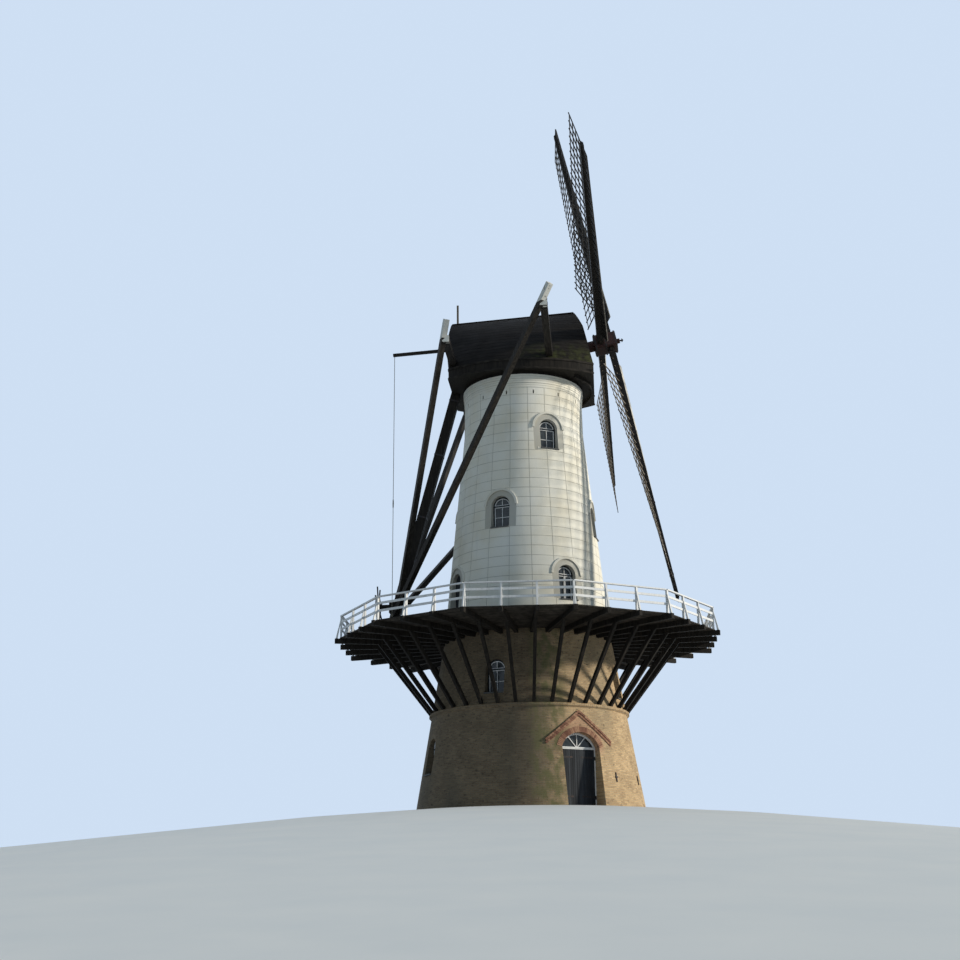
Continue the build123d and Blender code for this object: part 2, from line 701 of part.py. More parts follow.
def eave_bow():
    """Radius of the cap's bowed sides in plan."""
    drop = EAVE_HALF_WIDTH - EAVE_END_HALF_WIDTH
    return (CAP_HALF_LENGTH ** 2 + drop ** 2) / (2 * drop)


def eave_half_width(place):
    """Half of the cap's width at a distance ahead of the tower's axis."""
    bow = eave_bow()
    return EAVE_HALF_WIDTH - bow + sqrt(bow ** 2 - place ** 2)


def cap_plan(inset, foot, height):
    """Block with the plan of the cap's eaves, bowed at the sides and cut square at the ends."""
    bow = eave_bow()
    side = EAVE_HALF_WIDTH - inset
    bowed = Pos(side - bow + inset, 0) * Circle(bow - inset) & Pos(bow - side - inset, 0) * Circle(bow - inset)
    front, rear = FRONT_PROFILE[-1][0] - inset, REAR_PROFILE[-1][0] + inset
    ends = polygon([(-side, -front), (side, -front), (side, -rear), (-side, -rear)])
    return Pos(0, 0, foot) * extrude(bowed & ends, height)


def ridge_height(place):
    middle = (RIDGE_REAR_HEIGHT + RIDGE_FRONT_HEIGHT) / 2
    return middle + (RIDGE_FRONT_HEIGHT - RIDGE_REAR_HEIGHT) * place / (2 * CAP_HALF_LENGTH)


def cap_section(place, inset):
    """Cross-section of the cap: bowed slopes from the ridge to level eaves."""
    half = eave_half_width(place) - inset
    top = ridge_height(place) - inset * 1.4
    foot = EAVE_LEVEL - (inset > 0)
    bulge_out = half / 2 + ROOF_BULGE * 0.8
    bulge_up = (top + foot) / 2 + ROOF_BULGE * 0.6
    right = ThreePointArc((half, foot), (bulge_out, bulge_up), (0, top))
    left = ThreePointArc((0, top), (-bulge_out, bulge_up), (-half, foot))
    face = make_face(right + left + Line((-half, foot), (half, foot)))
    return Plane(origin=(0, -place, 0), x_dir=(1, 0, 0), z_dir=(0, -1, 0)) * face


def cap_form(inset):
    places = [-CAP_HALF_LENGTH * 1.1, -CAP_HALF_LENGTH * 0.55, 0, CAP_HALF_LENGTH * 0.55, CAP_HALF_LENGTH * 1.1]
    return loft([cap_section(place, inset) for place in places])


def side_profile(rear_in, front_in):
    """Block that trims the cap to its leaning ends, seen from the side."""
    front = [(-(place - front_in), level) for place, level in FRONT_PROFILE]
    rear = [(-(place + rear_in), level) for place, level in reversed(REAR_PROFILE)]
    return extrude(Plane.YZ * polygon(front + rear), 2 * EAVE_HALF_WIDTH, both=True)


def spruit_block(forward, half, clearance=0):
    size = SPRUIT_SIZE / 2 + clearance
    return box_at((-half, -forward - size, SPRUIT_LEVEL - size), (half, -forward + size, SPRUIT_LEVEL + size))


def build_cap():
    outer = cap_form(0)
    inner = cap_form(ROOF_THICKNESS)
    passages = [spruit_block(LONG_SPRUIT_FORWARD, LONG_SPRUIT_HALF, FIT),
                spruit_block(SHORT_SPRUIT_FORWARD, SHORT_SPRUIT_HALF, FIT)]
    shell = (outer - inner) & side_profile(0, 0)
    reach = 2 * EAVE_HALF_WIDTH
    for side, name in ((-1, "left"), (1, "right")):
        low, high = sorted((0, side * reach))
        half = shell & box_at((low, -reach, EAVE_LEVEL), (high, reach, HUB_HEIGHT * 2))
        save(half - passages[0] - passages[1], f"cap_roof_{name}")
    closed = cap_form(ROOF_THICKNESS + FIT) & box_at((-reach, -reach, EAVE_LEVEL), (reach, reach, HUB_HEIGHT * 2))
    body = closed & side_profile(0, 0)
    front = body - side_profile(-CAP_WALL_THICKNESS, CAP_WALL_THICKNESS)
    front = front & box_at((-reach, -reach, EAVE_LEVEL), (reach, 0, HUB_HEIGHT * 2))
    save(front - shaft_cylinder(SHAFT_RADIUS + SHAFT_HOLE_GAP), "cap_front_wall")
    rear = body - side_profile(CAP_WALL_THICKNESS, -CAP_WALL_THICKNESS)
    rear = rear & box_at((-reach, 0, EAVE_LEVEL), (reach, reach, HUB_HEIGHT * 2))
    save(rear - lever_slot() - passages[1] - tail_beam_form(FIT), "cap_rear_wall")
    curb_foot = TOWER_TOP + CURB_GAP
    save(ring([(CURB_INNER_RADIUS, curb_foot), (CURB_OUTER_RADIUS, curb_foot),
               (CURB_OUTER_RADIUS, curb_foot + CURB_HEIGHT), (CURB_INNER_RADIUS, curb_foot + CURB_HEIGHT)]), "cap_curb")
    frame_foot = curb_foot + CURB_HEIGHT + FIT
    build_cap_frame(frame_foot)
    build_cap_skirt(frame_foot - FIT)
    foot = ridge_height(-FINIAL_BACK) - FINIAL_SIZE
    half = FINIAL_SIZE / 2
    finial = box_at((-half, FINIAL_BACK - half, foot), (half, FINIAL_BACK + half, foot + FINIAL_HEIGHT))
    save(finial - outer, "cap_finial")


def build_cap_skirt(soffit_top):
    """Upright boards under the eaves with a soffit that runs in to the curb, and the apron below it."""
    boards = cap_plan(0, SKIRT_FOOT, EAVE_LEVEL - SKIRT_FOOT - FIT)
    boards -= cap_plan(SKIRT_THICKNESS, soffit_top, EAVE_LEVEL - soffit_top)
    boards -= Pos(0, 0, SKIRT_FOOT) * Cylinder(CURB_OUTER_RADIUS + SOFFIT_GAP, CURB_HEIGHT)
    save(boards - tail_beam_form(FIT), "cap_skirt")
    back, head = APRON_RADIUS - APRON_THICKNESS, SKIRT_FOOT - FIT
    outline = [(back, APRON_FOOT), (APRON_RADIUS, APRON_FOOT), (APRON_RADIUS, head), (back, head)]
    save(ring(outline, -APRON_HALF_TURN, 2 * APRON_HALF_TURN), "cap_apron")


def build_cap_frame(foot):
    """Two sheers along the cap with cross beams out to the skirt, resting on the curb."""
    half = SHEER_WIDTH / 2
    head = SPRUIT_LEVEL - SPRUIT_SIZE / 2 - FIT
    sheers = []
    for side in (-1, 1):
        middle = side * SHEER_SPACING / 2
        sheers.append(box_at((middle - half, -SHEER_FRONT, foot), (middle + half, -SHEER_REAR, head)))
    frame = sheers[0] + sheers[1]
    reach = EAVE_HALF_WIDTH
    for place in CROSS_BEAM_PLACES:
        cross = box_at((-reach, -place - half, foot), (reach, -place + half, foot + CROSS_BEAM_DEPTH))
        frame += cross & cap_plan(SKIRT_THICKNESS + FIT, foot, CROSS_BEAM_DEPTH)
    save(frame, "cap_frame")
    build_bearings()


def shaft_height(forward):
    """Height of the windshaft's middle at a distance ahead of the axis."""
    return HUB_HEIGHT - (HUB_FORWARD - forward) * tan(radians(SHAFT_TILT))


def build_bearings():
    """Beam on two posts for the shaft's front end, and a lower beam for its rear end."""
    seat = SPRUIT_LEVEL - SPRUIT_SIZE / 2
    outside = (SHEER_SPACING + SHEER_WIDTH) / 2
    bearings = []
    for place in (FRONT_BEARING_FORWARD, REAR_BEARING_FORWARD):
        top = shaft_height(place) - SHAFT_RADIUS / cos(radians(SHAFT_TILT)) + SADDLE_DEPTH
        near, far = -place - BEARING_WIDTH / 2, -place + BEARING_WIDTH / 2
        foot = max(seat, top - BEARING_DEPTH)
        block = box_at((-outside, near, foot), (outside, far, top))
        if foot > seat:
            for side in (-1, 1):
                middle = side * SHEER_SPACING / 2
                block += box_at((middle - SHEER_WIDTH / 2, near, seat), (middle + SHEER_WIDTH / 2, far, foot))
        bearings.append(block - shaft_cylinder(SHAFT_RADIUS + BEARING_GAP))
    save(solids_of(bearings), "shaft_bearings")


def rotor_plane():
    """Plane of the sails: x to the right seen from the front, y up, z along the shaft to the front."""
    tilt = radians(SHAFT_TILT)
    return Plane(origin=(0, -HUB_FORWARD, HUB_HEIGHT), x_dir=(1, 0, 0), z_dir=(0, -cos(tilt), sin(tilt)))


def shaft_cylinder(radius):
    plane = rotor_plane()
    start = plane.origin - plane.z_dir * SHAFT_REAR
    back = Plane(origin=start, x_dir=plane.x_dir, z_dir=plane.z_dir)
    return extrude(back * Circle(radius), SHAFT_REAR)


def build_windshaft():
    plane = rotor_plane()
    poll_start = plane.origin - plane.z_dir * (POLL_LENGTH / 2)
    poll_plane = Plane(origin=poll_start, x_dir=plane.x_dir, z_dir=plane.z_dir)
    poll = extrude(poll_plane * RectangleRounded(POLL_SIZE, POLL_SIZE, 60), POLL_LENGTH)
    poll = poll.rotate(Axis(plane.origin, plane.z_dir), REST_TURN)
    poll += extrude(poll_plane * Circle(BOSS_RADIUS), POLL_LENGTH + BOSS_LENGTH)
    shaft = shaft_cylinder(SHAFT_RADIUS) + poll
    for quarter in (0, 1):
        shaft -= stock_form(quarter, FIT)
    save(shaft, "windshaft")


def sail_plane(index, offset):
    """Plane of one sail: x out along the stock, y to its leading edge, z to the front."""
    plane = rotor_plane()
    angle = radians(REST_TURN + 90 * index)
    out = plane.x_dir * cos(angle) + plane.y_dir * sin(angle)
    return Plane(origin=plane.origin + plane.z_dir * offset, x_dir=out, z_dir=plane.z_dir)


def stock_offset(index):
    return STOCK_OFFSET if index % 2 == 0 else -STOCK_OFFSET


def stock_form(index, clearance=0):
    """Tapered stock that carries two opposite sails."""
    halves = []
    for end in (index, index + 2):
        plane = sail_plane(end, stock_offset(index))
        sections = []
        ends = ((0, STOCK_WIDTH, STOCK_THICKNESS), (SAIL_RADIUS, STOCK_TIP_WIDTH, STOCK_TIP_THICKNESS))
        for place, width, thickness in ends:
            across = Plane(origin=plane.origin + plane.x_dir * place, x_dir=plane.y_dir, z_dir=plane.x_dir)
            sections.append(across * Rectangle(width + 2 * clearance, thickness + 2 * clearance))
        halves.append(loft(sections, ruled=True))
    return halves[0] + halves[1]


def bar_places():
    """Distances from the hub to the bars of a sail."""
    length = SAIL_RADIUS - LATTICE_TIP_INSET - LATTICE_HEEL
    count = round(length / BAR_SPACING)
    return [LATTICE_HEEL + length * step / count for step in range(count + 1)]


def lead_places():
    """Distances from the hub to the short bars that carry the leading boards alone."""
    length = LATTICE_HEEL - LEAD_HEEL
    count = round(length / BAR_SPACING)
    return [LEAD_HEEL + length * step / count for step in range(count)]


def weather_slope(place):
    """Slope of a sail at a distance from the hub, easing towards the tip."""
    heel, tip = tan(radians(HEEL_WEATHER)), tan(radians(TIP_WEATHER))
    return heel + (tip - heel) * (place - LATTICE_HEEL) / (SAIL_RADIUS - LATTICE_HEEL)


def sail_point(plane, place, across):
    """Point on the twisted surface of a sail, across counted to the leading edge."""
    return plane.origin + plane.x_dir * place + plane.y_dir * across + plane.z_dir * (across * weather_slope(place))


def bar_block(plane, place, reach, clearance):
    """One bar through the stock, from its reach on the trailing side to the leading edge."""
    tail = sail_point(plane, place, -reach)
    lead = sail_point(plane, place, LEAD_WIDTH)
    across = Plane(origin=tail, x_dir=plane.x_dir, z_dir=(lead - tail).normalized())
    return extrude(across * Rectangle(BAR_WIDTH + 2 * clearance, BAR_THICKNESS + 2 * clearance), (lead - tail).length)


def sail_bars(index, clearance=0):
    """All the bars of a sail: the short ones by the hub reach back through the stock only."""
    plane = sail_plane(index, stock_offset(index))
    stub = STOCK_WIDTH / 2 + LATH_WIDTH
    bars = [bar_block(plane, place, stub, clearance) for place in lead_places()]
    return bars + [bar_block(plane, place, LATTICE_WIDTH, clearance) for place in bar_places()]


def sail_lath(plane, start, across):
    """Long lath that crosses the bars from a distance from the hub out to the tip."""
    heel = sail_point(plane, start - BAR_WIDTH / 2, across)
    tip = sail_point(plane, SAIL_RADIUS - LATTICE_TIP_INSET + BAR_WIDTH / 2, across)
    middle = weather_slope((LATTICE_HEEL + SAIL_RADIUS) / 2)
    chord = (plane.y_dir + plane.z_dir * middle).normalized()
    along = Plane(origin=heel, x_dir=chord, z_dir=(tip - heel).normalized())
    return extrude(along * Rectangle(LATH_WIDTH, LATH_THICKNESS), (tip - heel).length)


def sail_lattice(index):
    plane = sail_plane(index, stock_offset(index))
    pieces = sail_bars(index)
    spacing = (LATTICE_WIDTH - LATH_INSET) / LATH_COUNT
    pieces += [sail_lath(plane, LATTICE_HEEL, -spacing * step) for step in range(1, LATH_COUNT + 1)]
    pieces.append(sail_lath(plane, LEAD_HEEL, LEAD_WIDTH - LATH_WIDTH / 2))
    return pieces[0].fuse(*pieces[1:])


def wind_boards(index):
    """Leading boards on the front of the bars, in lengths that follow the twist."""
    plane = sail_plane(index, stock_offset(index))
    seat = BAR_THICKNESS / 2 + BOARD_SEAT
    inner = STOCK_WIDTH / 2 + LATH_WIDTH
    length = (SAIL_RADIUS - LATTICE_TIP_INSET - LEAD_HEEL) / BOARD_COUNT
    boards = []
    for step in range(BOARD_COUNT):
        start = LEAD_HEEL + step * length
        ends = (start + BOARD_GAP / 2, start + length - BOARD_GAP / 2)
        sections = []
        for place in ends:
            low = sail_point(plane, place, inner)
            high = sail_point(plane, place, LEAD_WIDTH)
            chord = (high - low).normalized()
            face_out = plane.x_dir.cross(chord)
            across = Plane(origin=low + face_out * (seat + BOARD_THICKNESS / 2), x_dir=chord, z_dir=plane.x_dir)
            width = (high - low).length
            sections.append(across * (Pos(width / 2, 0) * Rectangle(width, BOARD_THICKNESS)))
        boards.append(loft(sections, ruled=True))
    return boards


def build_sails():
    for index, name in ((0, "outer_stock"), (1, "inner_stock")):
        mortises = sail_bars(index, FIT) + sail_bars(index + 2, FIT)
        save(stock_form(index).cut(*mortises), name)
    for index in range(4):
        save(sail_lattice(index), f"sail_lattice_{index + 1}")
    save(solids_of([board for index in range(4) for board in wind_boards(index)]), "wind_boards")


def tail_back(level):
    """Distance of the tail beam's middle behind the axis at a height."""
    return TAIL_TOP_BACK + TAIL_SLOPE * (SPRUIT_LEVEL - level)


def tail_point(level, side=0):
    return Vector(side, tail_back(level), level)


def tail_beam_form(clearance=0):
    foot = tail_point(TAIL_FOOT_LEVEL)
    head = tail_point(SPRUIT_LEVEL + SPRUIT_SIZE)
    return beam(foot, head, TAIL_WIDTH + 2 * clearance, TAIL_DEPTH + 2 * clearance)


def tail_braces(forward, half, foot_level):
    """Two braces down to the tail beam's cheeks, notched over the rear of a spruit's ends."""
    braces = []
    spruit = spruit_block(forward, half, FIT)
    for side in (-1, 1):
        head = Vector(side * (half - BRACE_WIDTH / 2), BRACE_SET_BACK - forward, SPRUIT_LEVEL)
        foot = tail_point(foot_level, side * TAIL_WIDTH / 2)
        brace = beam(foot, head, BRACE_WIDTH, BRACE_DEPTH, TAIL_WIDTH, BRACE_HEAD)
        cheek = TAIL_WIDTH / 2 + FIT
        low, high = sorted((side * cheek, side * 3 * LONG_SPRUIT_HALF))
        reach = 3 * LONG_SPRUIT_HALF
        brace = brace & box_at((low, -reach, 0), (high, reach, reach))
        braces.append((brace - spruit).solids().sort_by(SortBy.VOLUME)[-1])
    return braces


def build_tail():
    save(spruit_block(LONG_SPRUIT_FORWARD, LONG_SPRUIT_HALF), "long_spruit")
    short = spruit_block(SHORT_SPRUIT_FORWARD, SHORT_SPRUIT_HALF)
    save(short, "short_spruit")
    trim = spruit_block(SHORT_SPRUIT_FORWARD, SHORT_SPRUIT_HALF, FIT)
    tail = (tail_beam_form() - trim).solids().sort_by(Axis.Z)[0]
    save(tail, "tail_beam")
    long_pair = tail_braces(LONG_SPRUIT_FORWARD, LONG_SPRUIT_HALF, LONG_BRACE_LEVEL)
    short_pair = tail_braces(SHORT_SPRUIT_FORWARD, SHORT_SPRUIT_HALF, SHORT_BRACE_LEVEL)
    save(solids_of(long_pair), "long_braces")
    save(solids_of(short_pair), "short_braces")


def winch_face():
    """Distance behind the axis of the winch bracket's plate, clear of the sloping tail beam."""
    lowest = tail_back(WHEEL_LEVEL - BRACKET_HEIGHT / 2)
    return lowest + TAIL_DEPTH / 2 * sqrt(1 + TAIL_SLOPE ** 2) + BRACKET_SEAT


def build_winch():
    """Spoked wheel on a drum and axle, carried by a bracket behind the tail beam."""
    face = winch_face()
    across = Plane(origin=(0, face, WHEEL_LEVEL), x_dir=(1, 0, 0), z_dir=(0, 1, 0))
    near = WINCH_GAP + BRACKET_THICKNESS
    rim_plane = across.offset(near + DRUM_LENGTH)
    wheel = extrude(across * Circle(AXLE_RADIUS), near + DRUM_LENGTH + WHEEL_RIM)
    wheel += extrude(across.offset(near) * Circle(DRUM_RADIUS), DRUM_LENGTH + WHEEL_RIM)
    wheel += extrude(rim_plane * (Circle(WHEEL_RADIUS) - Circle(WHEEL_RADIUS - WHEEL_RIM)), WHEEL_RIM)
    for spoke in range(WHEEL_SPOKES):
        bar = Pos(WHEEL_HANDLE_RADIUS / 2, 0) * Rectangle(WHEEL_HANDLE_RADIUS, SPOKE_WIDTH)
        wheel += extrude(rim_plane * (Rot(0, 0, 360 / WHEEL_SPOKES * (spoke + 0.5)) * bar), SPOKE_WIDTH)
    save(wheel, "winding_wheel")
    plate = extrude(across * Rectangle(TAIL_WIDTH, BRACKET_HEIGHT), BRACKET_THICKNESS)
    plate -= extrude(across * Circle(AXLE_RADIUS + AXLE_GAP), BRACKET_THICKNESS)
    half, tall = TAIL_WIDTH / 2, BRACKET_HEIGHT / 2
    backing = box_at((-half, face - TAIL_DEPTH, WHEEL_LEVEL - tall), (half, face, WHEEL_LEVEL + tall))
    wedge = (backing - tail_beam_form(FIT)).solids().sort_by(Axis.Y)[-1]
    save(plate + wedge, "winch_bracket")


def lever_line():
    pivot = Vector(LEVER_SIDE, LEVER_PIVOT_BACK, LEVER_LEVEL)
    end = Vector(LEVER_SIDE, LEVER_PIVOT_BACK + LEVER_LENGTH, LEVER_LEVEL - LEVER_DROP)
    return pivot, end


def lever_slot():
    """Slot in the rear wall that the brake lever passes through."""
    width, height = LEVER_SIZE + LEVER_SLOT_ROOM, LEVER_SIZE + 2 * LEVER_SLOT_ROOM
    return box_at((LEVER_SIDE - width / 2, 0, LEVER_LEVEL - height / 2),
                  (LEVER_SIDE + width / 2, 2 * CAP_HALF_LENGTH, LEVER_LEVEL + height / 2))


def build_brake_lever():
    """Lever out of the rear of the cap, its pin between two cheeks, and the rope that hangs from it."""
    pivot, end = lever_line()
    lever = beam(pivot, end, LEVER_SIZE, LEVER_SIZE, LEVER_TAIL, 0)
    pin_place = Pos(*pivot) * Rot(0, 90, 0)
    save(lever - pin_place * Cylinder(AXLE_RADIUS / 2 + AXLE_GAP, 2 * LEVER_SIZE), "brake_lever")
    cheek_out = LEVER_SIZE / 2 + WINCH_GAP
    bracket = pin_place * Cylinder(AXLE_RADIUS / 2, 2 * (cheek_out + LEVER_CHEEK))
    wall = side_profile(CAP_WALL_THICKNESS + FIT, 0)
    for side in (-1, 1):
        low, high = sorted((side * cheek_out, side * (cheek_out + LEVER_CHEEK)))
        cheek = box_at((LEVER_SIDE + low, pivot.Y - LEVER_SIZE, pivot.Z - LEVER_SIZE),
                       (LEVER_SIDE + high, 2 * CAP_HALF_LENGTH, pivot.Z + LEVER_SIZE))
        bracket += cheek & wall
    save(bracket, "lever_bracket")
    rope_back = end.Y - ROPE_INSET
    rope = Pos(LEVER_SIDE, rope_back, (end.Z + ROPE_FOOT) / 2) * Cylinder(ROPE_DIAMETER / 2, end.Z - ROPE_FOOT)
    rope = (rope - lever).solids().sort_by(Axis.Z)[0]
    save(rope, "brake_rope")
    half = KNOT_LENGTH / 2
    outline = polygon([(0, -half), (KNOT_NECK_RADIUS, -half), (KNOT_RADIUS, -half / 2), (KNOT_RADIUS, half / 2),
                       (KNOT_NECK_RADIUS, half), (0, half)])
    knot = revolve(Plane.XZ * outline, Axis.Z)
    save(Pos(LEVER_SIDE, rope_back, ROPE_FOOT - half) * knot, "rope_knot")


build_walls()
build_floors()
build_windows()
build_hoods()
build_door_gable()
build_main_door()
build_stage_doors()
build_stage_deck()
build_stage_frame()
build_railing()
build_cap()
build_windshaft()
build_sails()
build_tail()
build_winch()
build_brake_lever()
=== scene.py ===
# %% [markdown]
# # A round windmill with a stage
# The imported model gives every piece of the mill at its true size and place, in metres.
# This lesson dresses it: bricks, plaster blocks, window bars, boards, irons and paint.
# The tower's axis is the Z axis, the ground is at zero and the sails face -Y.

# %% Load the frame
import math
import random

import bmesh
import bpy
from mathutils import Matrix, Vector


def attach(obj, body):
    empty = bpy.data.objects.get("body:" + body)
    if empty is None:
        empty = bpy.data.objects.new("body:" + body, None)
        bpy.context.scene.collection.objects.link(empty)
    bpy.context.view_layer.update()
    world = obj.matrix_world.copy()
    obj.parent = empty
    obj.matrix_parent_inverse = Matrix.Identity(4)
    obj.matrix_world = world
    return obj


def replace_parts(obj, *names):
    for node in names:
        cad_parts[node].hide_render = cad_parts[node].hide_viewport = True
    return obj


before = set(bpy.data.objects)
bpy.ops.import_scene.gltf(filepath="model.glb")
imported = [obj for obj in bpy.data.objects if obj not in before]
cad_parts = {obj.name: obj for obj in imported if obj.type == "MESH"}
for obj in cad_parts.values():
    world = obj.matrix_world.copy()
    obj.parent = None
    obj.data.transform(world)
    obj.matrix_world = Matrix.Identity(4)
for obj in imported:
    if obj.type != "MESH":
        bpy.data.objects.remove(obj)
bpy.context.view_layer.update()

# %% [markdown]
# ## The camera
# The photograph was taken from low on a slope, beside the mill, looking up. A camera is a
# place and three turns: which way it looks, how far up, and how much it leans. Its lens sets
# how wide it sees. Here the place is given from the tower's axis, before the turn that brings
# the photograph's side round to our own axes.

# %% Place the camera
PHOTO_SIDE = math.radians(-86.84)
CAMERA_DISTANCE = 61.146
CAMERA_LEVEL = -3.776
CAMERA_UP = 0.301
CAMERA_ASIDE = -0.034
CAMERA_LEAN = -0.009
CAMERA_LENS = 51.43
CAMERA_REACH = 1000


def linked(name, data):
    """A new object with the given data, in the scene."""
    made = bpy.data.objects.new(name, data)
    bpy.context.collection.objects.link(made)
    return made


camera_data = bpy.data.cameras.new("camera")
camera_data.lens = CAMERA_LENS
camera_data.clip_end = CAMERA_REACH
camera = linked("camera", camera_data)
camera_place = Matrix.Rotation(PHOTO_SIDE, 4, "Z") @ Vector((0, -CAMERA_DISTANCE, CAMERA_LEVEL))
around = Matrix.Rotation(PHOTO_SIDE - CAMERA_ASIDE, 4, "Z")
looking = around @ Matrix.Rotation(math.pi / 2 + CAMERA_UP, 4, "X")
camera.matrix_world = Matrix.Translation(camera_place) @ looking @ Matrix.Rotation(CAMERA_LEAN, 4, "Z")
bpy.context.scene.camera = camera
print("camera at", [round(value, 2) for value in camera_place])

# %% [markdown]
# ## The brake rope
# One rope hangs straight down from the end of the brake lever to a knot above the stage. It
# is a curve with a round bevel: its own weight keeps it straight, so a few control points on
# one upright line are enough. A short splice part-way down is a profile spun about that line.

# %% Hang the brake rope
ROPE_ASIDE, ROPE_BACK = -1.15, 6.0
ROPE_HEAD, ROPE_FOOT = 21.179, 8.75
ROPE_LEVELS = (ROPE_HEAD, 20.7, 15.0, 9.3, ROPE_FOOT)
ROPE_DIAMETER = 0.026
SPLICE_LEVEL = 13.9
SPLICE_PROFILE = ((0.0125, -0.22), (0.026, -0.15), (0.030, 0.0), (0.026, 0.15), (0.0125, 0.22))
SPLICE_STEPS = 10
SPIN_MERGE = 1e-4


def mesh_object(name, bm):
    mesh = bpy.data.meshes.new(name)
    bm.to_mesh(mesh)
    bm.free()
    return linked(name, mesh)


def smooth_object(name, bm):
    made = mesh_object(name, bm)
    made.data.polygons.foreach_set("use_smooth", [True] * len(made.data.polygons))
    return made


def spin_profile(bm, profile, steps, centre=(0, 0, 0)):
    """Turns a profile of (radius, height) once about an upright axis."""
    middle = Vector(centre)
    corners = [bm.verts.new(middle + Vector((radius, 0, height))) for radius, height in profile]
    edges = [bm.edges.new(pair) for pair in zip(corners, corners[1:])]
    bmesh.ops.spin(bm, geom=corners + edges, cent=middle, axis=(0, 0, 1), angle=2 * math.pi, steps=steps,
                   use_merge=True)
    bmesh.ops.remove_doubles(bm, verts=bm.verts, dist=SPIN_MERGE)


rope_line = bpy.data.curves.new("brake_line", "CURVE")
rope_line.dimensions = "3D"
rope_line.bevel_depth = ROPE_DIAMETER / 2
rope_line.bevel_resolution = 3
rope_line.resolution_u = 6
rope_line.use_fill_caps = True
spline = rope_line.splines.new("NURBS")
spline.points.add(len(ROPE_LEVELS) - 1)
for point, level in zip(spline.points, ROPE_LEVELS):
    point.co = (ROPE_ASIDE, ROPE_BACK, level, 1)
spline.order_u = 3
spline.use_endpoint_u = True
rope = linked("brake_line", rope_line)
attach(rope, "brake_lever")
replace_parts(rope, "brake_rope")

splice_shape = bmesh.new()
spin_profile(splice_shape, SPLICE_PROFILE, SPLICE_STEPS, (ROPE_ASIDE, ROPE_BACK, SPLICE_LEVEL))
bmesh.ops.holes_fill(splice_shape, edges=splice_shape.edges)
bmesh.ops.recalc_face_normals(splice_shape, faces=splice_shape.faces)
splice = smooth_object("rope_splice", splice_shape)
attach(splice, "brake_lever")
print("rope length", round(ROPE_HEAD - ROPE_FOOT, 2))

# %% [markdown]
# ## The floor
# The camera stands lower than the mill's foot, so a level floor would hide the foot. A plain
# pale floor that is level under the mill and falls away gently all round solves that: a
# profile of a few points, spun once about the axis.

# %% Make the floor
FLOOR_PROFILE = ((0, 0), (5.35, 0), (6.5, -0.06), (12, -0.55), (60, -6.0), (400, -50))
FLOOR_STEPS = 96

floor_shape = bmesh.new()
spin_profile(floor_shape, FLOOR_PROFILE, FLOOR_STEPS)
floor = smooth_object("floor", floor_shape)
print("floor points", len(floor.data.vertices))

# %% [markdown]
# ## Light
# In the photograph a low sun stands to the right, over the sails' side: it lights the right
# half of the tower and leaves the left half in blue shade. The key light stands there, with
# soft edges. The sky lights the rest evenly, and two weak lamps keep the other sides from
# going flat. Seen straight, in gloss or through glass, the sky is a pale blue of its own,
# which doesn't change the light.

# %% Set the light
SKY_LIGHT = (0.58, 0.80, 1.0, 1)
SKY_LIGHT_STRENGTH = 0.31
SKY_SEEN = (0.62, 0.74, 0.90, 1)
WARM_LIGHT, COOL_LIGHT = (1.0, 0.94, 0.82), (0.85, 0.93, 1.0)


def add_sun(name, azimuth, height, energy, softness, colour):
    """A sun seen from the given azimuth, counted from -Y towards +X, and height in degrees."""
    data = bpy.data.lights.new(name, "SUN")
    data.energy = energy
    data.angle = math.radians(softness)
    data.color = colour
    turn, up = math.radians(azimuth), math.radians(height)
    back = Vector((math.sin(turn) * math.cos(up), -math.cos(turn) * math.cos(up), math.sin(up)))
    linked(name, data).rotation_euler = back.to_track_quat("Z", "Y").to_euler()


add_sun("key", azimuth=-4, height=17, energy=3.6, softness=5, colour=WARM_LIGHT)
add_sun("fill", azimuth=-125, height=40, energy=0.10, softness=60, colour=COOL_LIGHT)
add_sun("rear", azimuth=125, height=35, energy=0.35, softness=60, colour=COOL_LIGHT)

world = bpy.data.worlds.new("sky")
bpy.context.scene.world = world
world.use_nodes = True
sky = world.node_tree
light_background = sky.nodes["Background"]
light_background.inputs["Color"].default_value = SKY_LIGHT
light_background.inputs["Strength"].default_value = SKY_LIGHT_STRENGTH
seen_background = sky.nodes.new("ShaderNodeBackground")
seen_background.inputs["Color"].default_value = SKY_SEEN
path = sky.nodes.new("ShaderNodeLightPath")
seen = path.outputs["Is Camera Ray"]
for ray in ("Is Glossy Ray", "Is Transmission Ray"):
    either = sky.nodes.new("ShaderNodeMath")
    either.operation = "MAXIMUM"
    sky.links.new(seen, either.inputs[0])
    sky.links.new(path.outputs[ray], either.inputs[1])
    seen = either.outputs["Value"]
chosen = sky.nodes.new("ShaderNodeMixShader")
sky.links.new(seen, chosen.inputs["Fac"])
sky.links.new(light_background.outputs["Background"], chosen.inputs[1])
sky.links.new(seen_background.outputs["Background"], chosen.inputs[2])
sky.links.new(chosen.outputs["Shader"], sky.nodes["World Output"].inputs["Surface"])
bpy.context.scene.view_settings.view_transform = "Standard"

# %% [markdown]
# ## The tower's own sizes
# Several finishes and pieces follow the tower: they need its headings, counted from the
# sails' side, its radius at each height, and the main door's heading. The wall leans in, and
# above a knee near the top it stands nearly upright.

# %% Sizes of the tower
UP = Vector((0, 0, 1))
DOOR_AZIMUTH = -59
STAGE_LEVEL = 7.5
NECK_LEVEL = 17.2
TOWER_TOP = 19.375
COLLAR_FOOT = 18.755
FOOT_RADIUS, BRICK_TOP_RADIUS = 5.0, 3.74
PLASTER_FOOT_RADIUS, NECK_RADIUS, PLASTER_TOP_RADIUS = 3.74, 2.775, 2.745


